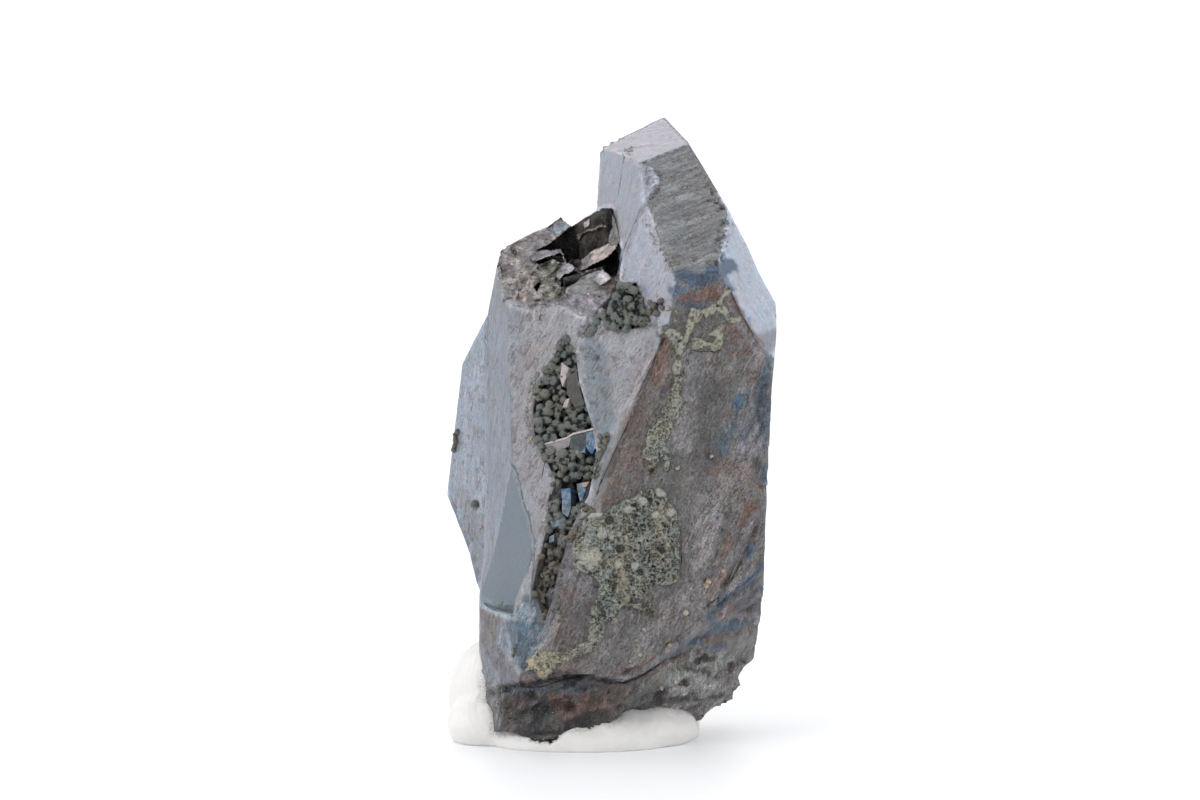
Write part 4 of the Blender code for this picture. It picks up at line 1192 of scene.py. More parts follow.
def lay_out_break(u, v):
    """Each pixel's depth, unevenness, size of lumps and tint in the broken top. The first area is its whole
    outline, and reaches a little further along its lower edge."""
    depth = np.full(len(u), np.nan)
    uneven, lump = np.zeros(len(u)), np.ones(len(u))
    tint = np.zeros((len(u), 3))
    waver = np.stack((u, v, np.zeros(len(u))), axis=1) / 6.0
    wavy_u, wavy_v = u + 0.9 * rough(waver, 3, 90), v + 0.9 * rough(waver, 3, 95)
    for index, (outline, corners, colour, amount, size) in enumerate(BREAKS):
        if index == 0:
            inside = outside(u, v, outline) < 3.5 * smooth(278, 288, v)
        else:
            inside = (outside(wavy_u, wavy_v, outline) < 0.0) & ~np.isnan(depth)
        depth[inside] = plane_depth(corners, u[inside], v[inside])
        uneven[inside], lump[inside] = amount, size
        tint[inside] = COLOURS[colour]
    return depth, uneven, lump, tint


def sink_edge(depth, rim, u, v, surface, grown):
    """Brings the lower edge to the nearer of the two surfaces, and its last pixels into the stone."""
    feather = smooth(-7.0, -0.5, rim) * smooth(280, 290, v)
    for k in np.flatnonzero(feather > 0):
        struck = [spot for spot in (hit(surface, u[k], v[k]), hit(grown, u[k], v[k])) if spot]
        if struck:
            nearest = min(spot[0][1] for spot in struck)
            depth[k] += feather[k] * (nearest - 0.03 + 0.16 * smooth(0.5, 3.5, rim[k]) - depth[k])


def weather_break(tint, flat, uneven, rim, v):
    """The break's colours, stained and worn where it is rough, fading into the face below it."""
    broad, spots = rough(flat * 0.8, 4, 93), rough(flat * 2.2, 4, 94)
    worn = ((uneven > 0.1) * smooth(0.05, 0.5, spots))[:, None]
    stained = ((uneven > 0.1) * smooth(0.0, 0.5, broad))[:, None]
    tint = tint + 0.65 * stained * (np.array((0.10, 0.078, 0.068)) - tint)
    tint = tint + 0.55 * worn * (np.array((0.27, 0.25, 0.25)) - tint)
    tint = tint * (1 + 0.6 * spots)[:, None]
    faded = smooth(-7.0, -1.0, rim + 3.0 * spots) * smooth(276, 288, v)
    tint = tint + (0.95 * faded)[:, None] * (np.array(FACETS["front_left"].tint) - tint)
    return np.clip(tint, 0.004, 1.0)


def make_break(material, surface, grown):
    """The broken top: plates, ledges and the hollow between the two crystals. Its lower edge sinks into the
    stone: surface is the plain crystal and grown is the uneven one."""
    us = np.arange(BREAK_BOX[0], BREAK_BOX[2], BREAK_STEP)
    vs = np.arange(BREAK_BOX[1], BREAK_BOX[3], BREAK_STEP)
    u, v = (grid.ravel() for grid in np.meshgrid(us, vs, indexing="ij"))
    depth, uneven, lump, tint = lay_out_break(u, v)
    index = np.arange(len(u)).reshape(len(us), len(vs))
    rings = np.stack((index[:-1, :-1], index[:-1, 1:], index[1:, 1:], index[1:, :-1]), axis=-1).reshape(-1, 4)
    rings = rings[~np.isnan(depth)[rings].any(axis=1)]
    used = np.unique(rings)
    u, v, depth, uneven, lump, tint = u[used], v[used], depth[used], uneven[used], lump[used], tint[used]
    ways = sights(u, v)
    flat = at_depth(ways, depth)
    near = pebbles(flat * np.array((0.9, 1.0, 1.3)) + 0.5 * rough(flat * 0.9, 3, 91)[:, None], 96)
    relief = uneven * (1.1 * rough(flat * lump[:, None] * 1.1, 4, 92) + 0.35 * (0.5 - near))
    relief -= 0.30 * (smooth(0.34, 0.14, near) * smooth(0.0, 0.35, rough(flat * 0.9, 2, 97)) * (uneven > 0.1))
    depth = depth - relief
    rim = outside(u, v, BREAKS[0][0])
    sink_edge(depth, rim, u, v, surface, grown)
    count = len(used)
    points = np.concatenate((at_depth(ways, depth), at_depth(ways, depth + BREAK_THICKNESS)))
    tint = np.tile(weather_break(tint, flat, uneven, rim, v), (2, 1))
    fields = {"tint": opaque(tint), "grain": points, "gleam": gleam_of(tint)}
    for field, value in (("streak", 0.1), ("gloss", 0.5), ("metal", 0.25), ("wear", 0.6)):
        fields[field] = np.full(count * 2, value)
    faces = closed_sheet(np.searchsorted(used, rings).tolist(), count)
    piece = mesh_piece("broken_top", points, faces, material, fields, 40)


# Globules, crumbs and the lines along edges.

def ball(detail):
    bm = bmesh.new()
    bmesh.ops.create_icosphere(bm, subdivisions=detail, radius=1.0)
    corners = np.array([v.co[:] for v in bm.verts])
    faces = [[v.index for v in f.verts] for f in bm.faces]
    bm.free()
    return corners, faces


def globules(name, lumps, material, cell=0.085, bed=None):
    """Round granular lumps grown into each other, each given as its middle in millimetres and its radius,
    over the CAD crust that they lie on."""
    corners, faces = ball(3)
    points, all_faces = [], []
    start = 0
    if bed:
        points.append(to_mm(coordinates(bed)))
        all_faces.extend(list(face.vertices) for face in bed.polygons)
        start = len(bed.vertices)
    for index, (middle, radius) in enumerate(lumps):
        swell = 1 + 0.16 * rough(corners * 0.9 + index * 3.7, 2, 40)
        points.append(np.array(middle) + corners * radius * swell[:, None])
        all_faces.extend([k + start for k in face] for face in faces)
        start += len(corners)
    raw = bpy.data.meshes.new("lumps")
    raw.from_pydata(to_metres(np.concatenate(points)).tolist(), [], all_faces)
    mesh = remeshed(raw, "VOXEL", voxel_size=cell * MM)
    points = to_mm(coordinates(mesh))
    fine = rough(points * 6.5, 2, 45)
    relief = 0.05 * (0.5 - pebbles(points * 5.0, 43)) + 0.05 * rough(points * 3.2, 3, 42) + 0.03 * fine
    points = points + vertex_normals(mesh) * relief[:, None]
    move_vertices(mesh, points)
    bulge = outward(vertex_normals(mesh), points, edge_pairs(mesh), 14)
    # Hollows between the lumps get a low lift and so the dark gap colour, as painted shade.
    lift = np.clip(0.40 + 8.0 * bulge + 0.25 * rough(points * 1.7, 3, 44) + 0.30 * fine, 0, 1)
    piece = finish_piece(name, mesh, points, material, {"lift": lift})
    return piece


def packed(outline, spacing, chance, tries=4000):
    """Pixels inside an outline, no two nearer than the spacing."""
    us, vs = zip(*outline)
    kept = []
    for _ in range(tries):
        u, v = chance.uniform(min(us), max(us)), chance.uniform(min(vs), max(vs))
        if outside(np.array([u]), np.array([v]), outline)[0] > -1.0:
            continue
        if all(math.hypot(u - a, v - b) > spacing for a, b in kept):
            kept.append((u, v))
    return kept


# The groove's chambers: the outline, the globules' spacing in pixels and how high they stand at its left.
VUG_CHAMBERS = (
    ([(557, 339), (553, 356), (545, 369), (538, 387), (535, 404), (536, 432), (540, 452), (548, 441),
      (596, 429), (590, 415), (583, 396), (579, 379), (576, 352), (566, 333)], 6.2, 0.12),
    ([(549, 462), (556, 453), (566, 449), (578, 451), (590, 456), (597, 451), (596, 468), (594, 476),
      (575, 479), (556, 484), (549, 476)], 5.6, -0.15),
    ([(571, 506), (584, 504), (583, 512), (572, 523), (566, 526), (556, 528), (550, 536), (546, 528),
      (549, 503), (557, 500), (560, 514), (566, 519)], 5.6, -0.15),
)
# Single globules on the groove's rim: the pixel and the radius in mm.
VUG_RIM = ((551, 452, 0.42), (546, 458, 0.40), (543, 449, 0.36), (566, 340, 0.42), (560, 346, 0.4))
# The notch's face, its area in pixels, and the string of globules across it and beside it.
NOTCH = Face((1.0, -6.5, 33.0), -10, 10)
NOTCH_AREA = [(607, 300), (620, 283), (634, 286), (646, 318), (640, 328), (612, 330)]
NOTCH_STRING = ((591, 332, 0.36), (594, 329, 0.3), (597, 322, 0.3), (598, 317, 0.26), (604, 315, 0.40),
                (609, 324, 0.46), (615, 316, 0.55), (617, 306, 0.46), (621, 322, 0.42), (625, 312, 0.5),
                (630, 318, 0.45), (636, 320, 0.4), (642, 321, 0.36))


def make_vug(material):
    """The crust in the groove: globules packed from nearly flush at its left rim to deep at its right."""
    face = FACETS["front_left"].face
    chance = random.Random(11)
    lumps = []
    for outline, spacing, flush in VUG_CHAMBERS:
        left = min(u for u, _ in outline)
        for u, v in packed(outline, spacing, chance):
            share = np.clip((u - left) / 50.0, 0, 1)
            depth = flush - 0.85 * share ** 1.3 + chance.uniform(-0.18, 0.18)
            lumps.append((on_face(u, v, face, depth), chance.uniform(0.27, 0.44)))
    lumps += [(on_face(u, v, face, -0.05), size) for u, v, size in VUG_RIM]
    piece = globules("vug_globules", lumps, material, bed=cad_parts["vug_crust"].data)
    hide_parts("vug_crust")


def make_notch(material):
    """The globules in the notch and the string of them beside it."""
    chance = random.Random(12)
    lumps = []
    for u, v in packed(NOTCH_AREA, 6.5, chance):
        lumps.append((on_face(u, v, NOTCH, chance.uniform(-0.9, -0.3)), chance.uniform(0.34, 0.5)))
    lumps += [(on_face(u, v, FACETS["front_left"].face), size) for u, v, size in NOTCH_STRING]
    piece = globules("notch_globules", lumps, material, bed=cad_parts["notch_crust"].data)
    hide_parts("notch_crust")


def chain(path, size, spacing, chance):
    """Pixels and radii along a path."""
    marks = []
    for (au, av), (bu, bv) in zip(path, path[1:]):
        count = max(1, round(math.hypot(bu - au, bv - av) / spacing))
        for k in range(count):
            t = k / count
            marks.append((au + (bu - au) * t, av + (bv - av) * t, size * chance.uniform(0.85, 1.15)))
    return marks + [(*path[-1], size * chance.uniform(0.85, 1.15))]


# Strings of small globules below the groove: the path, the radius in mm, the spacing in pixels and how far
# they stray. Then single ones scattered over the front.
STRINGS = (
    ([(584, 504), (580, 508), (575, 514), (571, 521), (566, 525), (559, 532), (552, 541), (551, 552),
      (549, 564), (545, 577), (541, 586), (535, 594)], 0.27, 4.2, 0.8),
    ([(588, 517), (583.7, 521), (576.5, 532), (567.6, 539), (562, 546), (558.6, 555), (555, 564),
      (549.7, 573), (546, 584), (543.4, 594), (541.6, 602)], 0.26, 3.8, 0.9),
    ([(592, 517), (586, 526), (578, 534), (571, 541)], 0.20, 3.2, 1.0),
    ([(552, 501), (554, 509), (556, 516)], 0.36, 4.6, 0.8),
    ([(577, 503), (586, 507), (590, 512)], 0.27, 3.8, 1.2),
    ([(601, 436), (602, 444), (600, 454), (598, 464), (596, 476)], 0.17, 2.4, 0.9),
    ([(607, 436), (606, 444), (603, 454)], 0.19, 2.6, 0.8),
    ([(552, 484), (562, 482), (573, 479.5), (584, 478), (594, 477)], 0.20, 3.0, 1.0),
    ([(560, 596), (558, 606), (557, 615)], 0.17, 3.0, 1.6),
    ([(545, 612), (543, 620)], 0.22, 3.4, 1.2),
    ([(541, 320), (540, 312)], 0.20, 3.4, 0.6),
    ([(516, 646), (513, 655)], 0.14, 3.4, 0.6),
    ([(457, 432), (456, 442), (454, 450)], 0.20, 3.4, 0.6),
    ([(648, 468), (652, 464), (656, 469), (653, 475), (648, 473)], 0.15, 2.6, 0.4),
    ([(645, 612), (652, 608), (656, 613), (650, 618)], 0.20, 3.2, 0.8),
)
SINGLE_GLOBULES = (
    (597, 357, 0.14), (541, 556, 0.26), (581, 315, 0.14), (556, 607, 0.18), (561, 575, 0.14),
    (563, 566, 0.14), (650, 312, 0.26), (655, 306, 0.3), (661, 301, 0.26), (657, 313, 0.28), (663, 308, 0.24),
    (650, 303, 0.22), (569, 508, 0.26), (545, 545, 0.22),
)


def make_strings(surface, material):
    chance = random.Random(13)
    marks = []
    for path, size, spacing, jitter in STRINGS:
        for u, v, radius in chain(path, size, spacing, chance):
            marks.append((u + chance.gauss(0, jitter), v + chance.gauss(0, jitter), radius))
    lumps = []
    for u, v, size in (*marks, *SINGLE_GLOBULES):
        struck = hit(surface, u, v)
        if struck:
            lumps.append((struck[0] + struck[1] * size * 0.25, size))
    globules("string_globules", lumps, material, cell=0.065)


# Outlines and marks of the low crusts over the front. First the large one, with its blooms and hollows.
PATCH = [(579, 528.6), (584.6, 519), (594, 512.5), (605, 513.5), (613, 506), (622.4, 501), (635.6, 496.5),
         (641, 490), (658, 487.4), (665, 492.7), (668.7, 501), (676, 508), (678, 519), (679.5, 532.4),
         (679.5, 560.7), (680, 579.6), (673.4, 583.4), (662, 586), (656.4, 591), (652.6, 602),
         (649, 613.7), (643, 611), (631.8, 609), (622.4, 608), (614.8, 617.4), (607, 621), (599.7, 628.8),
         (592, 634), (588, 622), (592, 606), (597.8, 595), (597.8, 581.5), (594, 577.7), (580.8, 572),
         (574, 567), (573, 559), (575, 545.6), (579, 534)]
PATCH_ROSETTES = (
    (591, 557, 12), (597, 512, 6), (628, 509.5, 7), (669, 512, 5), (602, 532, 8), (618, 564, 5),
    (634, 566, 4.5), (660, 491, 6), (593, 514, 6), (611, 537, 3.5), (618, 533.5, 3.5), (625, 537, 3),
    (641, 500, 6), (655, 515, 6),
)
PATCH_HOLLOWS = (
    (608.7, 520, 6), (619.5, 548, 6), (661.5, 550, 5), (634.5, 505, 2.5), (635, 515, 2.5), (635.5, 525, 2.5),
    (650, 500, 3), (640, 572, 4),
)
# The ring round the shoulder, in three pieces.
RING_TOP = [(665, 333), (670, 329), (676, 330), (681, 335), (683, 341), (686, 333), (685, 327), (688, 318),
            (691.5, 308), (697, 310), (706, 309), (711.6, 305), (716, 303), (720, 299), (725, 291),
            (730, 290), (731, 293), (724, 297), (721, 303), (726, 308), (731, 316), (741, 317), (742, 321),
            (733.5, 323.5), (727, 320.6), (722, 314), (716, 311), (713.5, 316), (709, 314), (706, 318),
            (703, 314), (700, 320), (694.4, 323.5), (691.5, 329), (688.7, 337), (686, 346), (681, 355),
            (676, 355), (675, 346), (668.6, 339)]
RING_LOW = [(722, 325), (723, 329), (722, 336), (723, 342.5), (719, 349), (713.5, 351), (709, 347),
            (703, 346), (697, 349), (692.5, 349), (691.5, 343.5), (690.6, 337), (697, 338), (703, 340.6),
            (707, 343.5), (712.5, 342.5), (716, 337), (709, 335), (706, 336), (710.6, 332), (718, 327)]
RING_LOBE = [(672.5, 365.5), (676, 360), (680, 360), (682, 365.5), (679, 374), (675, 376), (673, 371)]
# The streak below it, its half-width in pixels at its heights, and the patch at its end.
STREAK = [(677, 380), (676, 391), (673, 402), (668, 414), (663, 425), (658, 436), (653, 447), (650, 456)]
STREAK_V, STREAK_WIDTH = (378, 390, 400, 430, 458), (3.0, 5.5, 7.0, 9.5, 8.5)
STREAK_TAIL = [(661, 450), (667, 458), (668, 466)]
# The one above the foot and the piece that joins it to the large one.
FOOT_BASE = [(524.8, 673.5), (527, 664), (532, 654.7), (538, 650), (544.7, 646), (551, 650), (557, 652.6),
             (570, 651.5), (574, 648), (586.6, 642), (593, 640), (594, 648), (584.5, 654.7), (574, 656.8),
             (559.4, 663), (551, 667), (546, 676), (540, 675), (534, 670), (529, 673)]
FOOT_RISE = [(587, 640), (588, 630), (590, 620), (596, 616), (603, 618), (604, 628), (601, 637), (594, 642)]
# Small spots: the pixel and the radius in pixels.
SPECKS = (
    (706, 586, 2.2), (708.5, 581.5, 2.6), (723.6, 571, 2.2), (686, 613, 2.8), (669, 645, 2.4),
    (661, 687, 2.0), (636, 640, 1.8), (664, 617, 2.0), (615, 620, 2.5), (644, 630, 2.4), (668, 308, 2.4),
    (676, 312, 2.2), (700, 300, 1.4), (678, 468, 2.2), (711.5, 456, 2.0), (735.5, 488, 1.6), (737, 492, 1.4),
    (674, 483, 1.5), (612, 612, 2.6), (613, 622, 2.0), (640, 655, 2.2), (630, 662, 2.0),
)
FOOT_BLOOMS = ((533, 663, 5), (542, 673, 3.5), (528, 669, 3))
SPECK_BLOOMS = ((707, 584, 6), (723.6, 571, 4), (686, 613, 4), (669, 645, 4), (661, 687, 3))


def patch_edge(u, v, p):
    gaps = smooth(0.0, 0.35, rough(p * 1.3, 3, 53)) * smooth(578, 600, v) * 12
    return outside(u, v, PATCH) + 1.2 * rough(p * 2.2, 3, 50) + gaps


def patch_relief(p):
    u, v = to_pixels(p)
    dent = np.zeros(len(p))
    for a, b, size in PATCH_HOLLOWS:
        dent = np.maximum(dent, smooth(size, 0.4 * size, np.hypot(u - a, v - b)))
    return worn_crust(3.0, 51, 0.5)(p) * (1 - 0.7 * dent) - 0.5 * dent


def ring_edge(u, v, p):
    near = np.minimum.reduce([outside(u, v, outline) for outline in (RING_TOP, RING_LOW, RING_LOBE)])
    return near - 0.7 + 0.8 * rough(p * 3.0, 2, 55)


def streak_edge(u, v, p):
    width = np.interp(v, STREAK_V, STREAK_WIDTH)
    near = np.minimum(off_path(u, v, STREAK) - width, off_path(u, v, STREAK_TAIL) - 4.5)
    return near + 4.0 * rough(p * 2.6, 4, 57)


def foot_edge(u, v, p):
    near = np.minimum(outside(u, v, FOOT_BASE), outside(u, v, FOOT_RISE))
    return near - 0.4 + 2.6 * rough(p * 2.4, 3, 61)


def speck_edge(u, v, p):
    near = np.minimum.reduce([np.hypot(u - a, v - b) - size for a, b, size in SPECKS])
    return near + 0.9 * rough(p * 3.0, 2, 65)


def make_crusts(surface):
    """The low crusts over the front. Each is cast in a box of pixels."""
    grey_green = crust_material("grey_green_crust")
    yellow = crust_material("yellow_crust")
    tan = crust_material("tan_crust")
    crust_patch("face_crust", surface, patch_edge, (568, 482, 686, 640), 0.42, patch_relief, grey_green,
                0.7, 2.0, PATCH_ROSETTES)
    crust_patch("shoulder_crust", surface, ring_edge, (655, 284, 750, 382), 0.24, flat_crust, yellow,
                0.6, 1.6)
    crust_patch("streak_crust", surface, streak_edge, (636, 372, 690, 478), 0.24, worn_crust(3.6, 58, 0.4),
                grey_green, 0.6, 0.8)
    crust_patch("foot_crust", surface, foot_edge, (516, 608, 612, 684), 0.22, worn_crust(3.4, 62, 0.4), tan,
                0.7, 1.0, FOOT_BLOOMS)
    crust_patch("speck_crust", surface, speck_edge, (606, 290, 744, 692), 0.2, flat_crust, tan, 0.8, 1.0,
                SPECK_BLOOMS)


# The small crystal faces between the groove's chambers, the slivers in its crust, and its dark walls: the
# film, the outline, and how far the left and right ends stand out of the front's face, in mm.
GLINTS = (
    ("wall", [(566, 376), (576, 371), (579, 390), (583, 404), (574, 407), (567, 394)], 0.0, -0.25),
    ("pink", [(563, 363), (569, 368), (567, 377), (563.5, 387), (561.5, 378)], 0.25, 0.05),
    ("pink", [(566, 400), (569.5, 398), (567.5, 407), (563.5, 408)], 0.2, 0.0),
    ("lilac", [(545, 445), (556, 442), (567, 439), (571, 437), (569, 446), (560, 450), (556, 458),
               (549, 463), (545, 456)], 0.06, 0.0),
    ("pink", [(545, 443.5), (567, 437), (573, 433), (593, 428), (593.5, 429.6), (573, 435), (567, 439),
              (545.5, 445.2)], 0.12, -0.02),
    ("teal", [(569, 439), (573, 435.5), (586, 432), (586, 449), (578, 450), (570, 448)], 0.0, -0.12),
    ("steel", [(586, 432), (590, 431), (589, 441), (588, 450.5), (586, 446)], -0.02, -0.1),
    ("blue", [(590, 431), (593, 430.5), (595, 441), (594, 449), (591.5, 454), (588, 450.5), (589, 441)],
     -0.02, -0.12),
    ("orange", [(593, 430.5), (594, 430.3), (597.5, 440), (596.5, 448), (594, 449), (595, 441)],
     -0.02, -0.06),
    ("blue", [(581, 452), (585.5, 447), (585, 453)], 0.05, 0.0),
    ("black", [(552, 485), (560.5, 483), (560.5, 498), (548.5, 501)], 0.05, -0.2),
    ("blue", [(561, 489), (569.5, 488), (570, 499), (562, 500)], 0.0, -0.15),
    ("steel", [(562, 500), (570, 499), (570, 508), (567, 517), (562, 513)], 0.0, -0.15),
    ("steel", [(577, 484), (588, 481.5), (583, 492), (579, 497)], 0.05, -0.1),
    ("orange", [(582, 483), (589, 481.5), (586, 487), (583, 487)], 0.08, -0.04),
    ("blue", [(583, 490), (586, 488), (583, 497), (580, 502), (579, 497)], 0.03, -0.08),
    ("black", [(589, 481.5), (595, 478), (592, 494), (583, 505), (580, 502), (584, 496)], 0.0, -0.2),
    ("steel", [(550, 519.5), (563, 518), (565, 525), (552, 527)], 0.05, -0.1),
    ("steel", [(549, 537), (554, 534), (553.5, 541), (549, 543)], 0.0, -0.05),
    ("black", [(546, 514), (553, 512), (552, 528), (543, 545), (544, 528)], -0.1, -0.3),
)


def make_glint(name, outline, near, far, material):
    face = FACETS["front_left"].face
    left = min(u for u, _ in outline)
    width = max(u for u, _ in outline) - left
    count = len(outline)
    top, below = [], []
    for u, v in outline:
        depth = near + (far - near) * (u - left) / width
        top.append(on_face(u, v, face, depth))
        below.append(on_face(u, v, face, depth - 0.9))
    faces = [list(range(count)), list(range(2 * count - 1, count - 1, -1))]
    faces += [[k, k + count, (k + 1) % count + count, (k + 1) % count] for k in range(count)]
    area = sum(a[0] * b[1] - b[0] * a[1] for a, b in zip(outline, outline[1:] + outline[:1]))
    if area > 0:
        faces = [face[::-1] for face in faces]
    piece = mesh_piece(name, np.array(top + below), faces, material, sharp=20)


def make_glints():
    materials = {name: glint_material(name) for name in GLINT_FILMS}
    for number, (film, outline, near, far) in enumerate(GLINTS, 1):
        make_glint(f"glint_{number:02}", outline, near, far, materials[film])


# Broken crumbs: each path's width, its spacing, the crumbs' size in mm and its points.
PALE_CRUMBS = (
    (1.2, 1.3, 0.14, [(537, 374), (531.5, 388), (529, 401)]),
    (1.0, 1.2, 0.15, [(526.5, 406), (527, 418), (529, 432), (532, 446)]),
    (1.6, 1.4, 0.12, [(568, 292), (580, 291), (590, 293), (600, 295)]),
    (1.6, 2.0, 0.10, [(577, 274), (588, 271), (603, 267), (610, 273), (615, 281)]),
    (1.2, 1.8, 0.08, [(643, 218), (648, 228), (653, 238), (659, 246), (664, 256), (673, 273)]),
    (1.2, 1.6, 0.08, [(646, 166), (655, 172), (662, 181), (656, 190), (648, 200)]),
    (1.4, 1.2, 0.11, [(625, 150), (631, 148), (628, 155)]),
    (2.0, 2.2, 0.10, [(716, 200), (725, 212), (727, 228), (722, 250)]),
    (1.5, 1.5, 0.13, [(648, 322), (654, 324), (660, 321)]),
    (3.0, 3.0, 0.09, [(536, 480), (531, 490), (538, 500)]),
    (2.0, 2.4, 0.08, [(690, 188), (686, 175), (682, 190)]),
    (6.0, 6.0, 0.055, [(640, 620), (660, 650), (690, 610), (700, 580)]),
    (8.0, 6.0, 0.05, [(700, 480), (740, 470), (730, 540)]),
    (5.0, 5.0, 0.045, [(506, 708), (520, 704), (540, 712), (590, 712)]),
)


def make_crumbs(name, surface, paths, material, seed):
    """Small broken crumbs scattered along paths."""
    chance = random.Random(seed)
    corners, faces = ball(1)
    points, all_faces, lift = [], [], []
    for width, spacing, size, path in paths:
        for u, v, _ in chain(path, 1.0, spacing, chance):
            u, v = u + chance.gauss(0, width), v + chance.gauss(0, width)
            struck = hit(surface, u, v)
            if struck is None:
                continue
            radius = size * chance.uniform(0.5, 1.3)
            stretch = np.array([chance.uniform(0.6, 1.3) for _ in range(3)])
            jolt = 1 + 0.35 * np.array([chance.uniform(-1, 1) for _ in corners])
            start = len(points) * len(corners)
            points.append(struck[0] + corners * stretch * radius * jolt[:, None])
            all_faces.extend([k + start for k in face] for face in faces)
            lift.append(np.full(len(corners), chance.uniform(0.3, 1.0)))
    piece = mesh_piece(name, np.concatenate(points), all_faces, material, {"lift": np.concatenate(lift)}, 20)


# Thin lines along sharp edges and cracks: the radius in mm and the path. The first table's pale lines are
# painted highlights along lit edges.
HIGHLIGHT_RIMS = (
    (0.10, [(510, 462), (515, 471), (519, 481), (523, 501), (529, 519), (533, 539), (534, 560), (531, 588),
            (530, 614)]),
    (0.05, [(530, 614), (521, 616), (515, 615.5), (507, 613.5), (498, 610.5), (490, 606.5), (484, 601)]),
    (0.05, [(621, 149), (624, 158), (622, 172), (619, 190), (617, 206)]),
    (0.06, [(641, 206), (636, 219), (629, 236), (624, 249), (620, 264), (617, 277)]),
    (0.05, [(502.6, 686), (501, 700), (497, 722)]),
    (0.035, [(661, 337), (657, 349), (650, 363), (644.5, 378), (636, 394), (630, 410)]),
    (0.030, [(624.5, 427), (619, 441), (612, 456), (603, 472), (598, 485)]),
    (0.035, [(745, 546), (740, 557), (736, 566), (731, 577), (727, 585)]),
    (0.030, [(757, 574), (748, 583), (738, 590)]),
    (0.025, [(728, 284), (741, 312), (757, 341), (771, 359)]),
    (0.025, [(752, 428), (747, 440), (744, 452)]),
)
# Dark lines painted as shade in crevices, along the ledge and round the crusts' rims.
SHADE_SEAMS = (
    (0.045, [(503, 685.5), (520, 687), (541, 687), (556, 682), (569, 678.5), (593, 675), (609, 681)]),
    (0.050, [(609, 681), (625, 683), (643, 675), (656, 667), (664, 661)]),
    (0.045, [(658, 351), (651, 366), (645, 380), (637, 397), (630, 402)]),
    (0.030, [(632, 412), (626, 428), (617, 446), (608, 467), (600, 484), (596, 498)]),
    (0.035, [(743, 558), (738, 568), (733, 577), (729, 584)]),
    (0.045, [(705, 607), (712, 602), (719, 597), (717, 607)]),
    (0.030, [(675, 392), (669, 404), (665, 412)]),
    (0.035, [(664, 424), (656, 434), (648, 450), (642, 466)]),
    (0.035, [(672, 400), (665, 418), (668, 428), (660, 441)]),
    (0.030, [(681, 528), (681, 545), (681.5, 562), (681, 580)]),
    (0.035, [(691, 350), (700, 352), (709, 351), (716, 353), (723, 347)]),
    (0.030, [(676, 357), (684, 352), (690, 345)]),
    (0.030, [(727, 285), (735, 302), (748, 326), (760, 345)]),
    (0.030, [(549, 452), (545, 462), (541, 480)]),
)


def seam_rings(surface, radius, path, index, sides):
    """The points round a line on the surface, side by side, thinner at its ends."""
    struck = [hit(surface, u, v) for u, v, _ in chain(path, 1.0, 1.2, random.Random(index))]
    line = np.array([spot[0] for spot in struck if spot])
    line = line[np.concatenate(([True], np.linalg.norm(np.diff(line, axis=0), axis=1) < 1.0))]
    along = np.gradient(line, axis=0)
    along /= np.linalg.norm(along, axis=1)[:, None] + 1e-9
    across = np.cross(along, LOOK)
    across /= np.linalg.norm(across, axis=1)[:, None] + 1e-9
    third = np.cross(along, across)
    steps = np.arange(len(line))
    fade = np.clip(np.minimum(steps, steps[::-1]) / 4.0, 0.25, 1)
    size = radius * fade * (0.75 + 0.6 * rough(line * 2.2, 3, 60 + index))
    turns = [2 * math.pi * k / sides for k in range(sides)]
    return [line + (across * math.cos(turn) + third * math.sin(turn)) * size[:, None] for turn in turns]


def make_seams(name, surface, paths, material):
    sides = 8
    points, faces = [], []
    base = 0
    for index, (radius, path) in enumerate(paths):
        rings = seam_rings(surface, radius, path, index, sides)
        count = len(rings[0])
        starts = [base + k * count for k in range(sides)]
        for a, b in zip(starts, starts[1:] + starts[:1]):
            faces.extend([a + i, a + i + 1, b + i + 1, b + i] for i in range(count - 1))
        faces.append(starts)
        faces.append([start + count - 1 for start in reversed(starts)])
        points.extend(rings)
        base += sides * count
    points = np.concatenate(points)
    lift = np.clip(0.5 + 0.8 * rough(points * 1.5, 3, 66), 0, 1)
    piece = mesh_piece(name, points, faces, material, {"lift": lift})


# The putty's lobes, each one's middle and half-sizes in mm, and the middle of its fingerprint.
LOBES = (
    ((-2.4, 0.2, 0.3), (9.1, 9.0, 3.3)),
    ((-8.6, 0.8, 3.2), (4.3, 4.8, 4.35)),
    ((-9.75, -2.6, 1.2), (3.0, 3.8, 2.4)),
    ((2.6, -1.6, 0.9), (3.9, 5.2, 2.1)),
    ((-1.0, 4.2, 2.2), (6.9, 4.4, 4.4)),
)
FINGERPRINT = np.array((-2.0, -9.0, 8.0))
# The crystal's outline below the ledge, as seen. The putty stays behind it.
FOOT_OUTLINE = [(486, 640), (485, 687), (489, 707), (495, 726), (510, 735), (529, 744), (547, 745),
                (552, 744.6), (566, 734), (575, 728), (592, 730), (603, 724), (618, 718), (631, 709),
                (640, 709), (655, 706), (669, 707), (687, 708), (697, 711), (700, 640)]


def lobes_mesh():
    bm = bmesh.new()
    for middle, radii in LOBES:
        made = bmesh.ops.create_uvsphere(bm, u_segments=40, v_segments=24, radius=1.0)["verts"]
        bmesh.ops.scale(bm, vec=radii, verts=made)
        bmesh.ops.translate(bm, vec=middle, verts=made)
    for corner in bm.verts:
        corner.co = Vector(to_metres(corner.co))
    mesh = bpy.data.meshes.new("lobes")
    bm.to_mesh(mesh)
    bm.free()
    return mesh


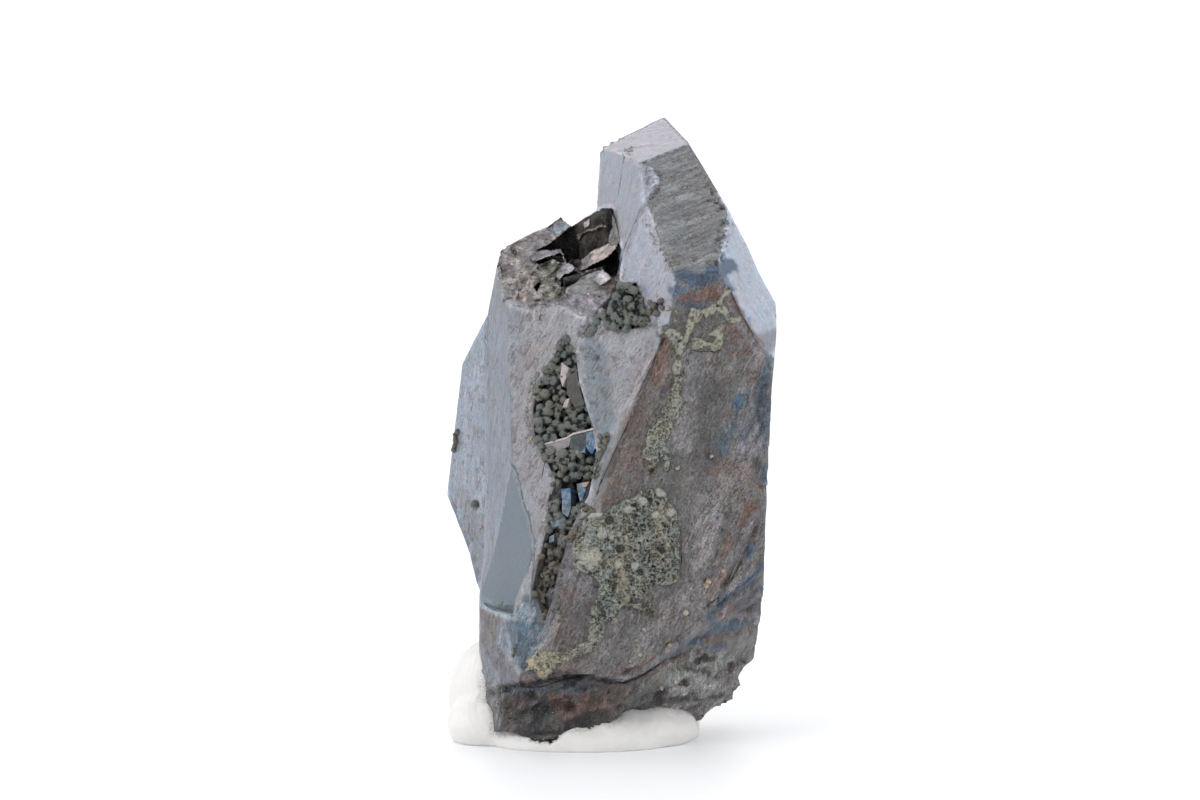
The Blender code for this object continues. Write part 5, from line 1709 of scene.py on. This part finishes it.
def hide_behind(points, surface):
    """Moves the putty's points that would hide the foot back behind it."""
    u, v = to_pixels(points)
    for k in np.flatnonzero(outside(u, v, FOOT_OUTLINE) < -1.0):
        way = sight(u[k], v[k])
        spot, _, _, reach = surface.ray_cast(Vector(EYE), Vector(way))
        if spot is not None:
            points[k] += way * max(0.0, reach + 0.12 - np.linalg.norm(points[k] - EYE))


def make_putty(surface):
    """The putty: pressed lobes with fingerprint ridges, flat underneath."""
    mesh = remeshed(lobes_mesh(), "VOXEL", voxel_size=0.24 * MM)
    points = to_mm(coordinates(mesh))
    points = 0.3 * points + 0.7 * averaged(points, edge_pairs(mesh), 6)
    move_vertices(mesh, points)
    move = 0.22 * rough(points * 0.28, 3, 70) + 0.05 * rough(points * 1.3, 3, 71)
    radial = np.linalg.norm(points - FINGERPRINT, axis=1)
    move += 0.006 * np.sin(radial * 2 * math.pi / RIDGE_PITCH + 2.5 * rough(points * 0.3, 2, 72))
    points = points + vertex_normals(mesh) * move[:, None]
    low, high = (to_mm(corner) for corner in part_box("mounting_putty"))
    points[:, :2] = np.clip(points[:, :2], low[:2] - 0.2, high[:2] + 0.2)
    hide_behind(points, surface)
    points[:, 2] = np.maximum(points[:, 2], 0.0)
    move_vertices(mesh, points)
    apart = np.array([surface.find_nearest(Vector(p))[3] for p in points])
    dirt = smooth(0.6, 0.05, apart + 0.35 * rough(points * 0.9, 3, 73))
    piece = finish_piece("putty_lump", mesh, points, putty_material(), {"dirt": dirt})
    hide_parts("mounting_putty")


# The stage: how far the floor reaches, and the lamp's place, aim and size, in metres, and its power in watts.
FLOOR_REACH = 3.0
LAMP_PLACE, LAMP_AIM = Vector((-0.30, -0.30, 0.45)), Vector((0, 0, 0.024))
LAMP_SIZE, LAMP_POWER = 0.30, 0.9


def make_floor():
    mesh = bpy.data.meshes.new("floor")
    corners = [(x * FLOOR_REACH, y * FLOOR_REACH, 0) for x, y in ((-1, -1), (1, -1), (1, 1), (-1, 1))]
    mesh.from_pydata(corners, [], [(0, 1, 2, 3)])
    mesh.materials.append(floor_material())
    floor = bpy.data.objects.new("floor", mesh)
    bpy.context.scene.collection.objects.link(floor)


def make_world():
    """A pale studio, darker on the camera's side."""
    world = bpy.data.worlds.new("studio")
    bpy.context.scene.world = world
    world.use_nodes = True
    tree = world.node_tree
    way = node(tree, "ShaderNodeTexCoord").outputs["Generated"]
    forward = node(tree, "ShaderNodeSeparateXYZ", Vector=way).outputs["Y"]
    front = spread(tree, forward, -0.8, -0.1, 1.0, 0.0)
    colour = mixed(tree, front, (1.0, 1.0, 1.01, 1.0), (0.50, 0.50, 0.51, 1.0))
    plug(tree, tree.nodes["Background"], Color=colour, Strength=1.3)


def make_lamp():
    light = bpy.data.lights.new("key", "AREA")
    light.size = LAMP_SIZE
    light.energy = LAMP_POWER
    lamp = bpy.data.objects.new("key", light)
    lamp.location = LAMP_PLACE
    lamp.rotation_euler = (LAMP_AIM - LAMP_PLACE).to_track_quat("-Z", "Y").to_euler()
    bpy.context.scene.collection.objects.link(lamp)


def make_camera():
    camera = bpy.data.cameras.new("camera")
    camera.lens = LENS
    camera.sensor_width = SENSOR
    camera.clip_start = 0.01
    obj = bpy.data.objects.new("camera", camera)
    obj.location = to_metres(EYE)
    obj.rotation_euler = Vector(LOOK).to_track_quat("-Z", "Y").to_euler()
    bpy.context.scene.collection.objects.link(obj)
    bpy.context.scene.camera = obj


def make_pieces():
    crystal = make_crystal()
    front = surface_of(crystal)
    make_putty(front)
    make_break(crystal.data.materials[0], surface_of(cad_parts["ferberite_crystal"]), front)
    olive = crust_material("olive_crust")
    make_vug(olive)
    make_notch(olive)
    make_strings(front, crust_material("brown_crust"))
    make_crusts(front)
    make_glints()
    # Painted highlights along lit edges.
    make_seams("highlight_rims", front, HIGHLIGHT_RIMS, crust_material("highlight_edge"))
    # Painted shade in crevices and along the ledge.
    make_seams("shade_seams", front, SHADE_SEAMS, crust_material("shade_edge"))
    make_crumbs("pale_crumbs", front, PALE_CRUMBS, crust_material("pale_crumb"), 31)


bpy.context.scene.view_settings.view_transform = "Standard"
make_camera()
make_floor()
make_world()
make_lamp()
make_pieces()
